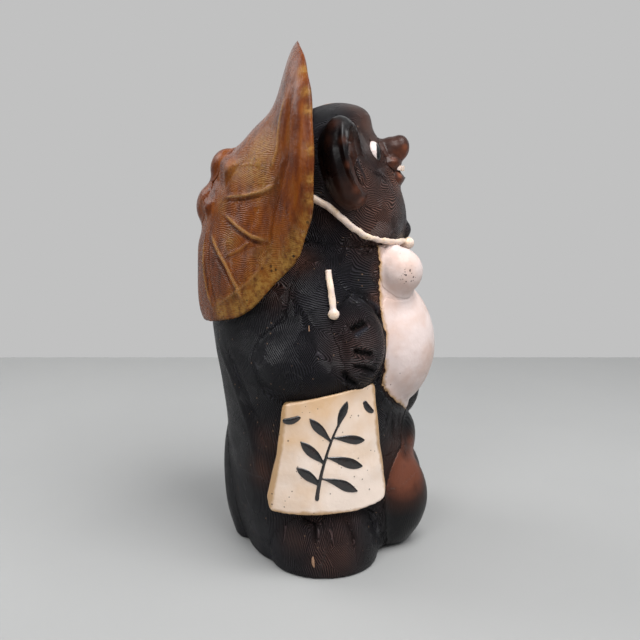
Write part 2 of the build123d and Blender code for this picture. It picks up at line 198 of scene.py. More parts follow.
# Combing strokes as they show from the right side: pixel of the stroke's middle, its direction in
# the picture, right and down, and how strongly the comb was pressed
COMB_STROKES = (
    (326, 119, 1.0, 0.05, 0.9), (317, 149, 1.0, 0.02, 1.0), (321, 176, 1.0, 0.10, 1.0),
    (332, 196, 1.0, 0.45, 0.9), (351, 112, 1.0, 0.15, 0.8), (367, 122, 0.5, 1.0, 0.6),
    (366, 142, 0.4, 1.0, 0.3), (366, 176, 1.0, 0.75, 0.8), (352, 211, 1.0, 0.70, 1.0),
    (376, 224, 1.0, 0.08, 1.0), (397, 211, 0.45, -1.0, 1.0), (384, 196, 1.0, -0.25, 1.0),
    (372, 207, 1.0, 0.30, 1.0), (323, 221, 0.35, 1.0, 0.9), (334, 250, 0.35, 1.0, 0.8),
    (355, 250, 1.0, 0.50, 0.9), (366, 262, 1.0, 0.35, 0.9), (369, 283, 1.0, 0.05, 0.9),
    (352, 283, 1.0, 0.10, 0.8), (305, 280, 1.0, 0.40, 0.9), (304, 298, 1.0, 0.32, 1.0),
    (284, 312, 0.03, 1.0, 0.9), (262, 330, 0.10, 1.0, 0.8), (268, 356, 0.10, 1.0, 1.0),
    (300, 350, 0.05, 1.0, 0.8), (290, 386, 0.03, 1.0, 1.0), (316, 386, 0.00, 1.0, 1.0),
    (335, 390, 0.25, 1.0, 0.9), (327, 325, 1.0, 0.30, 0.9), (331, 342, 1.0, 0.15, 0.9),
    (355, 317, 1.0, -0.60, 1.0), (364, 342, 1.0, 0.10, 0.9), (357, 366, 1.0, 0.30, 1.0),
    (372, 372, 1.0, 0.05, 0.8), (224, 341, 0.28, 1.0, 0.5), (240, 384, 0.42, 1.0, 0.5),
    (262, 420, 0.12, 1.0, 0.4), (243, 436, 0.08, 1.0, 0.5), (235, 489, 0.05, 1.0, 0.5),
    (262, 500, 0.05, 1.0, 0.6), (284, 536, 0.05, 1.0, 1.3), (315, 540, 0.00, 1.0, 1.4),
    (345, 537, -0.05, 1.0, 1.4), (368, 530, -0.15, 1.0, 0.7), (392, 427, 0.10, 1.0, 0.6),
    (398, 470, 0.10, 1.0, 0.1), (412, 500, 0.30, 1.0, 0.1), (390, 520, 0.0, 1.0, 0.3),
)

# The comb and scratch strokes in the cells of the leaf hat, in the same way
HAT_STROKES = (
    (252, 152, 1.0, -0.25, 0.5), (240, 178, 1.0, -0.30, 0.4), (265, 215, 1.0, 0.10, 0.5),
    (250, 214, 1.0, -0.05, 0.6), (248, 262, 1.0, -0.45, 0.9), (243, 248, 0.7, 0.7, 0.5),
    (222, 285, 1.0, -0.12, 0.9), (216, 262, 1.0, 0.0, 0.8), (228, 300, 1.0, -0.30, 0.7),
    (290, 110, 0.05, 1.0, 0.1), (300, 190, 0.05, 1.0, 0.1), (200, 280, 0.05, 1.0, 0.3),
    (262, 285, 1.0, -0.5, 0.2), (215, 160, -0.5, 1.0, 0.1), (198, 205, -0.2, 1.0, 0.1),
)

# Where the hat's glaze is thick and ochre, in the same way as the warm places of the fur
OCHRE_PLACES = (
    (262, 150, 16, 0.7), (255, 165, 16, 0.75), (240, 170, 12, 0.5), (262, 180, 12, 0.6),
    (300, 246, 10, 1.0), (296, 256, 10, 1.0), (286, 266, 12, 1.0), (276, 276, 12, 1.0),
    (262, 288, 12, 1.0), (250, 300, 12, 1.0), (238, 308, 11, 1.0), (222, 312, 9, 1.0),
    (304, 70, 5, 0.7), (302, 238, 8, 0.9), (307, 220, 6, 0.7), (310, 150, 4, 0.8),
    (311, 180, 4, 0.8), (311, 200, 5, 0.8), (309, 110, 4, 0.8), (306, 92, 4, 0.7),
    (230, 240, 8, 0.5), (222, 205, 7, 0.4), (270, 262, 14, 0.6),
)

# Where the thin glaze breaks to brown, as they show from the right side: pixel, radius in
# millimetres and amount
WARM_PLACES = (
    (368, 123, 16, 1.0), (358, 108, 14, 0.7), (378, 150, 20, 1.0), (400, 150, 20, 1.0),
    (395, 180, 18, 0.9), (380, 205, 26, 0.8), (362, 180, 20, 0.8), (362, 199, 5, 0.9),
    (376, 228, 20, 0.8), (352, 150, 12, 0.8), (343, 140, 3, 1.2), (348, 165, 3, 1.0),
    (357, 188, 5, 1.0), (334, 124, 5, 0.7), (327, 142, 5, 0.6), (402, 235, 10, 0.5),
    (405, 470, 26, 1.0), (412, 450, 16, 0.8), (312, 516, 20, 0.25), (300, 262, 12, 0.6),
    (272, 290, 14, 0.5), (377, 300, 7, 0.7), (378, 270, 7, 0.6), (268, 440, 12, 0.5),
    (262, 470, 14, 0.5), (345, 515, 16, 0.3), (358, 345, 20, 0.35), (335, 555, 22, 0.55),
    (296, 540, 14, 0.4), (300, 222, 8, 0.3), (330, 212, 14, 0.3), (400, 175, 6, 1.6),
    (405, 148, 7, 1.5), (394, 160, 9, 1.3),
)

# Tool marks pressed into the fur or raised on it: pixels along the mark, then half width and
# depth in millimetres, where a mark above the surface has a depth below zero
FUR_MARKS = (
    (((350, 330), (358, 326), (367, 321)), 2.4, 3.6),
    (((354, 337), (361, 331), (368, 326)), 2.6, -1.8),
    (((353, 351), (363, 353), (375, 355)), 2.0, 3.6),
    (((343, 371), (348, 380), (357, 386)), 2.2, 2.6),
    (((336, 330), (342, 345), (345, 362)), 3.0, 1.8),
    (((352, 366), (364, 368), (376, 372)), 2.0, 2.4),
    (((368, 300), (376, 306), (384, 316)), 2.6, -1.2),
    (((226, 345), (241, 385), (254, 420), (264, 445)), 3.0, 1.3),
    (((218, 340), (235, 387), (248, 425), (258, 470)), 3.5, -1.0),
    (((300, 517), (315, 524), (316, 545)), 1.5, 1.9),
    (((346, 519), (352, 533), (354, 548)), 1.4, 1.2),
    (((369, 514), (375, 526)), 1.4, 1.2),
    (((286, 520), (283, 545)), 1.3, 0.6),
    (((330, 520), (333, 550)), 1.3, 0.6),
    (((392, 412), (393, 425), (394, 438)), 1.6, 0.9),
    (((399, 414), (400, 428), (399, 438)), 1.6, 0.9),
    (((386, 412), (386, 428)), 1.6, 0.7),
    (((342, 123), (342, 138), (345, 156), (350, 173), (358, 190), (364, 202)), 1.7, -2.0),
    (((336, 138), (339, 155), (346, 176), (354, 193)), 4.5, 2.0),
    (((350, 127), (351, 136), (352, 145)), 3.2, 3.4),
    (((351, 150), (356, 168), (363, 186)), 2.0, 1.8),
    (((355, 148), (358, 163), (366, 182)), 1.6, -1.2),
    (((384, 143), (387, 150), (391, 157)), 1.2, 0.8),
    (((387, 170), (391, 179), (395, 185)), 1.4, 1.4),
    (((370, 171), (380, 174), (388, 182)), 1.6, 1.0),
    (((369, 138), (373, 146), (377, 158)), 1.3, 0.8),
)

# Veins and folds of the leaf hat, in the same way, seen from the right side
LEAF_MARKS = (
    (((224, 198), (245, 196), (262, 192), (274, 185)), 1.6, -1.5),
    (((226, 201), (246, 199), (263, 195)), 1.6, 0.9),
    (((224, 214), (238, 227), (252, 237), (266, 241)), 1.7, -1.6),
    (((224, 218), (237, 231), (250, 240), (262, 244)), 1.7, 1.2),
    (((211, 233), (217, 248), (226, 264), (237, 287), (243, 302)), 1.8, -1.6),
    (((208, 237), (214, 252), (223, 268), (233, 289)), 1.6, 1.0),
    (((205, 235), (204, 262), (207, 290), (213, 308)), 1.7, -1.3),
    (((209, 240), (209, 265), (212, 292), (217, 306)), 1.5, 0.8),
    (((226, 257), (240, 250), (254, 238)), 1.3, -0.8),
    (((214, 308), (226, 299), (238, 291), (251, 280), (264, 264)), 1.4, -0.9),
    (((237, 166), (250, 164), (262, 166)), 1.3, -0.5),
    (((224, 160), (230, 168), (233, 176)), 8.0, -5.5),
    (((206, 194), (209, 203), (212, 212)), 7.0, -5.0),
    (((216, 178), (221, 184), (224, 190)), 4.0, 1.2),
    (((240, 200), (243, 215), (240, 228)), 9.0, -1.0),
    (((256, 204), (254, 219), (250, 230)), 3.2, 0.9),
    (((292, 84), (286, 118), (284, 160), (278, 185), (270, 212), (266, 240), (256, 266)),
     4.0, 3.2),
    (((286, 92), (280, 120), (277, 150), (270, 172)), 2.6, -1.1),
    (((300, 90), (302, 130), (300, 170), (298, 205), (292, 240), (282, 268)), 6.5, -2.6),
)


def on_photo(tree, u, v):
    """The place on a surface that the photograph shows at a pixel, and the surface's normal."""
    ahead = Vector((cos(LOOK_DOWN), 0, -sin(LOOK_DOWN)))
    above = Vector((sin(LOOK_DOWN), 0, cos(LOOK_DOWN)))
    beside = Vector((0, -1, 0))
    ray = ahead + beside * (u - MIDDLE_PIXEL) / FOCAL_PIXELS
    ray += above * (MIDDLE_PIXEL - v) / FOCAL_PIXELS
    place, normal, _, _ = tree.ray_cast(EYE, ray.normalized())
    return place, normal


def all_on_photo(tree, rows):
    """The places and normals on a surface at the pixels that a table's rows begin with."""
    found = [on_photo(tree, row[0], row[1]) for row in rows]
    missed = [row[:2] for row, (place, _) in zip(rows, found) if place is None]
    if missed:
        raise ValueError(f"the surface isn't met at the pixels {missed}")
    return found


def clear_selection():
    """Leaves nothing selected, in object mode."""
    if bpy.context.object and bpy.context.object.mode != "OBJECT":
        bpy.ops.object.mode_set(mode="OBJECT")
    bpy.ops.object.select_all(action="DESELECT")


def take(piece):
    """Makes a piece the only one selected, and the active one."""
    clear_selection()
    piece.hide_viewport = False
    piece.select_set(True)
    bpy.context.view_layer.objects.active = piece


def finish_with(piece, kind, **settings):
    """Adds a modifier to a piece and applies it."""
    modifier = piece.modifiers.new(kind.title(), kind)
    for name, value in settings.items():
        setattr(modifier, name, value)
    take(piece)
    bpy.ops.object.modifier_apply(modifier=modifier.name)


def copied(node, name):
    """A copy of a node's own solid, its loose faces merged."""
    take(frame["nodes"][node])
    bpy.ops.object.duplicate()
    piece = bpy.context.view_layer.objects.active
    del piece["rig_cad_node"], piece["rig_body"]
    piece.parent = None
    piece.name = name
    piece.data.name = name
    piece.data.materials.clear()
    bpy.ops.object.mode_set(mode="EDIT")
    bpy.ops.mesh.select_all(action="SELECT")
    bpy.ops.mesh.remove_doubles(threshold=0.01 * MM)
    bpy.ops.object.mode_set(mode="OBJECT")
    return piece


def kneaded(node, name, grain, lap=0.0):
    """A copy of a node's solid with even faces, about a grain wide. A lap makes it reach that far
    into its neighbours, but not into a hollow nor down to the floor."""
    piece = copied(node, name)
    finish_with(piece, "REMESH", mode="VOXEL", voxel_size=grain)
    finish_with(piece, "SMOOTH", factor=0.5, iterations=2)
    if lap:
        places, normals = points_of(piece), normals_of(piece)
        level = np.linalg.norm(places[:, :2], axis=1)
        faces_inward = (normals[:, :2] * places[:, :2]).sum(1) < -0.3 * level
        reach = np.where(faces_inward & (node in HOLLOW), 0, lap)
        lapped = places + normals * reach[:, None]
        lapped[:, 2] = np.where(places[:, 2] < LAP_FOOT, places[:, 2], lapped[:, 2])
        put_points(piece, lapped)
    return piece


def points_of(piece):
    """A mesh's points as rows."""
    rows = np.empty(len(piece.data.vertices) * 3)
    piece.data.vertices.foreach_get("co", rows)
    return rows.reshape(-1, 3)


def normals_of(piece):
    """The normals at a mesh's points as rows."""
    rows = np.empty(len(piece.data.vertices) * 3)
    piece.data.vertex_normals.foreach_get("vector", rows)
    return rows.reshape(-1, 3)


def put_points(piece, rows):
    """Writes a mesh's points back."""
    piece.data.vertices.foreach_set("co", rows.astype(np.float32).ravel())
    piece.data.update()


def edges_of(piece):
    """The two points of each edge as rows."""
    rows = np.empty(len(piece.data.edges) * 2, np.int32)
    piece.data.edges.foreach_get("vertices", rows)
    return rows.reshape(-1, 2)


def relaxed(values, edges, rounds):
    """Values at a mesh's points, averaged with their neighbours a number of times."""
    count = len(values)
    shares = np.maximum(np.bincount(edges.ravel(), minlength=count), 1)
    for _ in range(rounds):
        total = np.empty_like(values)
        for k in range(values.shape[1]):
            total[:, k] = np.bincount(edges[:, 0], values[edges[:, 1], k], count)
            total[:, k] += np.bincount(edges[:, 1], values[edges[:, 0], k], count)
        values = total / shares[:, None]
    return values


def tree_of(piece):
    """A search tree of a piece's faces."""
    return BVHTree.FromObject(piece, bpy.context.evaluated_depsgraph_get())


def attribute(piece, name, kind, rows):
    """Stores a value or a vector at each point of a piece."""
    made = piece.data.attributes.new(name, kind, "POINT")
    made.data.foreach_set("vector" if kind == "FLOAT_VECTOR" else "value",
                          np.asarray(rows, np.float32).ravel())


def smooth_step(low, high, values):
    """0 below the low value and 1 above the high one, with a soft change between."""
    share = np.clip((values - low) / (high - low), 0, 1)
    return share * share * (3 - 2 * share)


def joined(pieces):
    """Several pieces as one object."""
    clear_selection()
    for piece in pieces:
        piece.select_set(True)
    bpy.context.view_layer.objects.active = pieces[0]
    bpy.ops.object.join()
    return pieces[0]


def closed(piece, crease, grain):
    """Fills the creases of a piece that are narrower than twice a width."""
    finish_with(piece, "DISPLACE", strength=crease, mid_level=0)
    finish_with(piece, "REMESH", mode="VOXEL", voxel_size=grain)
    finish_with(piece, "DISPLACE", strength=-crease, mid_level=0)


def ball_of_clay(centre, radii):
    """A rounded lump that is pressed into a seam."""
    clear_selection()
    bpy.ops.mesh.primitive_uv_sphere_add(segments=32, ring_count=16, radius=1)
    ball = bpy.context.active_object
    put_points(ball, points_of(ball) * radii + centre)
    return ball


class LutedSurface:
    """What pieces that are luted together look like as one surface, with slip in the seams."""

    def __init__(self, nodes, grain, fills, broad, crease, lumps=()):
        self.nodes = nodes
        copies = [copied(node, "seam_" + node) for node in nodes]
        trees = [tree_of(piece) for piece in copies]
        filled = joined([copied(node, "filled_" + node) for node in broad])
        finish_with(filled, "REMESH", mode="VOXEL", voxel_size=grain)
        closed(filled, crease, grain)
        balls = [ball_of_clay(centre, radii) for centre, radii in lumps]
        whole = joined(copies + balls + [filled])
        closed(whole, FINE_CREASE, grain)
        places, edges = points_of(whole), edges_of(whole)
        for rounds, share, axis, begins, whole_from in fills:
            normals = normals_of(whole)
            rise = ((relaxed(places, edges, rounds) - places) * normals).sum(1)
            rise = relaxed(np.maximum(rise, 0)[:, None], edges, 3)
            faces_down = normals[:, 2] < -0.7
            rise[faces_down] = 0
            rise *= smooth_step(begins * MM, whole_from * MM, places[:, axis])[:, None]
            moved = places + normals * rise * share
            moved[:, 2] = np.where(places[:, 2] < FILL_FOOT, places[:, 2], moved[:, 2])
            places = moved
            put_points(whole, places)
        self.tree = tree_of(whole)
        self.reach = np.full((len(nodes), len(places)), 50 * MM)
        for row, (node, tree) in enumerate(zip(nodes, trees)):
            low, high = (np.array(corner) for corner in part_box(node))
            near = np.all((places > low - DRAWN) & (places < high + DRAWN), axis=1)
            for index in np.nonzero(near)[0]:
                self.reach[row, index] = tree.find_nearest(Vector(places[index]))[3]
        self.corners = [tuple(face.vertices) for face in whole.data.polygons]
        self.whole = whole

    def lead(self, node):
        """How much nearer to this node than to any other each of the surface's points is."""
        own = self.nodes.index(node)
        others = [row for row in range(len(self.nodes)) if row != own]
        return self.reach[others].min(0) - self.reach[own]


# The surfaces of the figure and of the hat, which the first operator makes
surfaces = {}


def hand_waves(places, size, seed):
    """The slow unevenness that hands leave in clay, from -1 to 1, with a typical size."""
    chance = np.random.default_rng(seed)
    total = np.zeros(len(places))
    for _ in range(HAND_WAVES):
        way = chance.normal(size=3)
        way *= 2 * pi / (size * (0.7 + 0.9 * chance.random())) / np.linalg.norm(way)
        total += np.sin(places @ way + chance.random() * 2 * pi)
    return total / (0.45 * HAND_WAVES)


def distance_to_mark(places, mark, across):
    """How far each place lies from a line of points, and how far along the line, from 0 to 1."""
    nearest = np.full(len(places), 1e3)
    along = np.zeros(len(places))
    runs = len(mark) - 1
    for step in range(runs):
        start = np.array(mark[step]) * across
        way = np.array(mark[step + 1]) * across - start
        share = np.clip((places - start) @ way / (way @ way), 0, 1)
        gap = np.linalg.norm(places - start - share[:, None] * way, axis=1)
        along = np.where(gap < nearest, (step + share) / runs, along)
        nearest = np.minimum(nearest, gap)
    return nearest, along


def pressed(places, marks, tree):
    """How far tool marks lower the surface at each place, on both sides of the figure. A mark is
    only a quarter as deep at its ends, and as deep as it gets after 0.18 of its length."""
    depth = np.zeros(len(places))
    for pixels, half_width, deep in marks:
        line = [place for place, _ in all_on_photo(tree, pixels)]
        for across in ((1, 1, 1), (-1, 1, 1)):
            gap, along = distance_to_mark(places, line, across)
            middle = smooth_step(0, 0.18, along) * smooth_step(0, 0.18, 1 - along)
            profile = np.exp(-((gap / (half_width * MM)) ** 2))
            depth += deep * MM * profile * (0.25 + 0.75 * middle)
    return depth


def pixels_of(places):
    """Where places show in the photograph, those of the left side mirrored to the right."""
    x, y, z = -np.abs(places[:, 0]) - EYE.x, places[:, 1] - EYE.y, places[:, 2] - EYE.z
    ahead = x * cos(LOOK_DOWN) - z * sin(LOOK_DOWN)
    rise = z * cos(LOOK_DOWN) + x * sin(LOOK_DOWN)
    return np.stack([MIDDLE_PIXEL - FOCAL_PIXELS * y / ahead,
                     MIDDLE_PIXEL - FOCAL_PIXELS * rise / ahead], 1)


def inside_outline(places, outline):
    """How far places lie inside an outline in the photograph, in millimetres, or outside it
    where this is below zero."""
    spots = pixels_of(places)
    corners = np.array(outline, float)
    nearest = np.full(len(spots), 1e9)
    inside = np.zeros(len(spots), bool)
    for start, end in zip(corners, np.roll(corners, -1, axis=0)):
        way = end - start
        share = np.clip((spots - start) @ way / (way @ way), 0, 1)
        gap = np.linalg.norm(spots - start - share[:, None] * way, axis=1)
        nearest = np.minimum(nearest, gap)
        passes = (start[1] > spots[:, 1]) != (end[1] > spots[:, 1])
        height = way[1] if way[1] else 1e-9
        inside ^= passes & (spots[:, 0] < start[0] + way[0] * (spots[:, 1] - start[1]) / height)
    return np.where(inside, nearest, -nearest) * MM_PER_PIXEL


def comb_guides(tree, strokes):
    """Each combing stroke's place, and its angle from straight forward along the surface."""
    guides = []
    for (place, normal), (u, v, right, down, strength) in zip(all_on_photo(tree, strokes), strokes):
        ends = all_on_photo(tree, ((u + right, v + down), (u - right, v - down)))
        way = ends[0][0] - ends[1][0]
        forward = Vector((-normal.y, normal.x, 0)).normalized()
        upward = normal.cross(forward)
        angle = np.arctan2(way @ upward, way @ forward)
        guides.append((*place, angle, strength))
    return np.array(guides)


def surface_axes(normals, places):
    """Unit vectors along the surface: level and forward, and square to that."""
    side = np.where(places[:, 0] > 0, -1.0, 1.0)
    level = np.stack([-normals[:, 1], normals[:, 0], 0 * side], 1) * side[:, None]
    ahead = np.stack([0 * side, 0 * side - 1, 0 * side], 1)
    ahead -= normals * (ahead * normals).sum(1)[:, None]
    flat = np.abs(normals[:, 2])[:, None] ** 2
    forward = level * (1 - flat) + ahead * flat
    forward -= normals * (forward * normals).sum(1)[:, None]
    forward /= np.linalg.norm(forward, axis=1)[:, None] + 1e-9
    return forward, np.cross(normals, forward) * side[:, None]


def comb_surface(piece, tree, strokes, warm_places, strength=1.0):
    """Stores at each point the way across the comb's lines, how deep they are and how warm. A
    stroke counts by its closeness, and less so across the figure than along its side."""
    places, normals = points_of(piece), normals_of(piece)
    guides = comb_guides(tree, strokes)
    folded = places.copy()
    folded[:, 0] = -np.abs(folded[:, 0])
    forward, upward = surface_axes(normals, places)
    pull = np.zeros((len(places), 2))
    press = np.zeros(len(places))
    total = np.zeros(len(places))
    for x, y, z, angle, hard in guides:
        gap = ((folded - (x, y, z)) ** 2 * (0.35, 1, 1)).sum(1) + (6 * MM) ** 2
        weight = gap**-2.0
        pull += weight[:, None] * (cos(2 * angle), sin(2 * angle))
        press += weight * hard
        total += weight
    angle = np.arctan2(pull[:, 1], pull[:, 0]) / 2
    flow = forward * np.cos(angle)[:, None] + upward * np.sin(angle)[:, None]
    attribute(piece, "comb_across", "FLOAT_VECTOR", np.cross(normals, flow))
    attribute(piece, "comb_depth", "FLOAT", press / total * strength)
    warm = np.zeros(len(places))
    for (place, _), (_, _, radius, amount) in zip(all_on_photo(tree, warm_places), warm_places):
        gap = np.linalg.norm(folded - place, axis=1) / (radius * MM)
        warm = np.maximum(warm, amount * np.exp(-(gap**2)))
    attribute(piece, "warmth", "FLOAT", warm)


def lute(piece, node, surface):
    """Brings a piece's outside to the one surface, and just under it where a neighbour shows. What
    is hidden is drawn less the farther it lies off, and not at all from 4 mm on."""
    places, normals = points_of(piece), normals_of(piece)
    lead = surface.lead(node)
    moved = places.copy()
    for index in range(len(places)):
        found, normal, face, gap = surface.tree.find_nearest(Vector(places[index]))
        faces_away = normal @ Vector(normals[index]) < -0.1
        if gap > DRAWN or faces_away:
            continue
        nearer = lead[list(surface.corners[face])].mean()
        hidden = min(max(-nearer / LAP, 0), 1)
        share = 1 - hidden * min(gap / (4 * MM), 1)
        target = np.array(found - normal * TUCKED * hidden)
        moved[index] += (target - places[index]) * share
    put_points(piece, moved)


def settle(piece, node, surface, marks, waves=0.35):
    """Takes a luted piece from its solid to its handmade surface."""
    lute(piece, node, surface)
    finish_with(piece, "SMOOTH", factor=0.5, iterations=2)
    work_by_hand(piece, surface, marks, waves)


def work_by_hand(piece, surface, marks, waves):
    """Presses the tool marks and the slow waves of the hands into a piece."""
    places, normals = points_of(piece), normals_of(piece)
    lower = pressed(places, marks, surface.tree)
    narrow = [mark for mark in marks if mark[1] < NARROW_MARK]
    attribute(piece, "pressed", "FLOAT", pressed(places, narrow, surface.tree) / MM)
    lower -= hand_waves(places, 34 * MM, 11) * waves * MM
    above_foot = smooth_step(0, FILL_FOOT, places[:, 2])
    put_points(piece, places - normals * (lower * above_foot)[:, None])


def glazed(piece, finish):
    """Gives a piece its glaze and smooth faces, and hangs it on the one body that there is."""
    piece.data.materials.append(glaze_of(finish))
    for face in piece.data.polygons:
        face.use_smooth = True
    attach(piece, "root")


def dress(piece, node, finish):
    """Glazes a piece and hides the node that it stands for."""
    glazed(piece, finish)
    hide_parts(node)
    return piece


def linear(hex_colour):
    """An sRGB hex colour as linear values with full opacity."""
    values = [int(hex_colour[i:i + 2], 16) / 255 for i in (1, 3, 5)]
    return (*[v / 12.92 if v <= 0.04045 else ((v + 0.055) / 1.055) ** 2.4 for v in values], 1)


def put(tree, kind, *inputs, out=0, stops=(), **settings):
    """Adds a shader node with its settings and with what goes into its sockets, in their order or
    by their names or numbers in a dictionary, and gives one socket that comes out of it."""
    made = tree.nodes.new("ShaderNode" + kind)
    for name, value in settings.items():
        setattr(made, name, value)
    if stops:
        ramp = made.color_ramp
        while len(ramp.elements) < len(stops):
            ramp.elements.new(0.5)
        for element, (place, colour) in zip(ramp.elements, stops):
            element.position = place
            element.color = linear(colour)
    sockets = inputs[0] if inputs and isinstance(inputs[0], dict) else dict(enumerate(inputs))
    for key, value in sockets.items():
        if isinstance(value, bpy.types.NodeSocket):
            tree.links.new(value, made.inputs[key])
        else:
            made.inputs[key].default_value = linear(value) if isinstance(value, str) else value
    return made.outputs[out] if made.outputs else None


def begin(name):
    """A new material, the function that adds nodes to it, and its object coordinates."""
    material = bpy.data.materials.new(name)
    material.use_nodes = True
    material.node_tree.nodes.clear()
    add = partial(put, material.node_tree)
    return material, add, add("TexCoord", out="Object")


def glaze(add, colour, roughness, height, lift, coat=0.0, gloss=0.5):
    """Ends a material as a glaze: glassy over its own colour, with a relief whose height of one
    lifts it by so many millimetres."""
    bump = add("Bump", {"Height": height, "Distance": lift * MM, "Strength": 1.0})
    shader = add("BsdfPrincipled",
                 {"Base Color": colour, "Roughness": roughness, "Normal": bump, "IOR": 1.5,
                  "Specular IOR Level": gloss, "Coat Weight": coat, "Coat Roughness": 0.12})
    add("OutputMaterial", {"Surface": shader})


def comb_lines(add, place, patch, pitch, seed, swing):
    """Parallel lines in hand-sized patches, each patch laid at its own small angle, up to half the
    swing either way. Patch and pitch are in millimetres. Gives the lines' height and a random
    value of the patch."""
    shifted = add("VectorMath", place, (seed, seed * 0.37, -seed), operation="ADD")
    wobble = add("TexNoise", {"Vector": shifted, "Scale": 1 / (14 * MM)}, out="Color")
    soft = add("VectorMath", wobble, (-0.5,) * 3, operation="ADD")
    soft = add("VectorMath", {0: soft, "Scale": 9 * MM}, operation="SCALE")
    edge = add("VectorMath", shifted, soft, operation="ADD")
    cells = add("TexVoronoi", {"Vector": edge, "Scale": 1 / (patch * MM)}).node
    chance = add("SeparateXYZ", cells.outputs["Color"]).node.outputs
    turn = add("Math", chance[0], swing, -swing / 2, operation="MULTIPLY_ADD")
    across = add("Attribute", out="Vector", attribute_name="comb_across")
    normal = add("NewGeometry", out="Normal")
    across = add("VectorRotate", {"Vector": across, "Axis": normal, "Angle": turn})
    gap = add("VectorMath", shifted, cells.outputs["Position"], operation="SUBTRACT")
    reach = add("VectorMath", gap, across, operation="DOT_PRODUCT", out="Value")
    uneven = add("TexNoise", {"Vector": shifted, "Scale": 1 / (9 * MM)})
    lines = add("Math", reach, 2 * pi / (pitch * MM), operation="MULTIPLY")
    lines = add("Math", uneven, 5.0, lines, operation="MULTIPLY_ADD")
    wave = add("Math", lines, operation="COSINE")
    wave = add("Math", wave, 0.5, 0.5, operation="MULTIPLY_ADD")
    return wave, chance[1]


def combed(add, place, pitch, patches=(38, 24), swing=1.0):
    """How high the clay stands between the lines of two overlapping layers of comb strokes, by how
    hard the comb was pressed and how worn they are. Pitch and patches are in millimetres."""
    low, _ = comb_lines(add, place, patches[0], pitch, 0.31, swing)
    high, pick = comb_lines(add, place, patches[1], pitch * 0.93, 1.73, swing * 1.3)
    upper = add("Math", pick, 0.52, operation="GREATER_THAN")
    lines = add("Mix", {0: upper, 2: low, 3: high}, data_type="FLOAT")
    worn = add("TexNoise", {"Vector": place, "Scale": 1 / (22 * MM), "Detail": 3.0})
    fade = add("MapRange", worn, 0.28, 0.5, 0.5, 1.1)
    depth = add("Attribute", out="Fac", attribute_name="comb_depth")
    depth = add("Math", depth, fade, operation="MULTIPLY")
    return add("Math", lines, depth, operation="MULTIPLY")


def specks(add, place, spacing, size, chosen):
    """1 in small round specks and 0 elsewhere. Their spacing and size are in millimetres, and a
    chosen share of them shows."""
    cells = add("TexVoronoi", {"Vector": place, "Scale": 1 / (spacing * MM)}).node
    chance = add("SeparateXYZ", cells.outputs["Color"]).node.outputs
    radius = add("Math", chance[1], size / spacing, operation="MULTIPLY")
    near = add("Math", cells.outputs["Distance"], radius, operation="LESS_THAN")
    shows = add("Math", chance[0], chosen, operation="LESS_THAN")
    return add("Math", near, shows, operation="MULTIPLY")


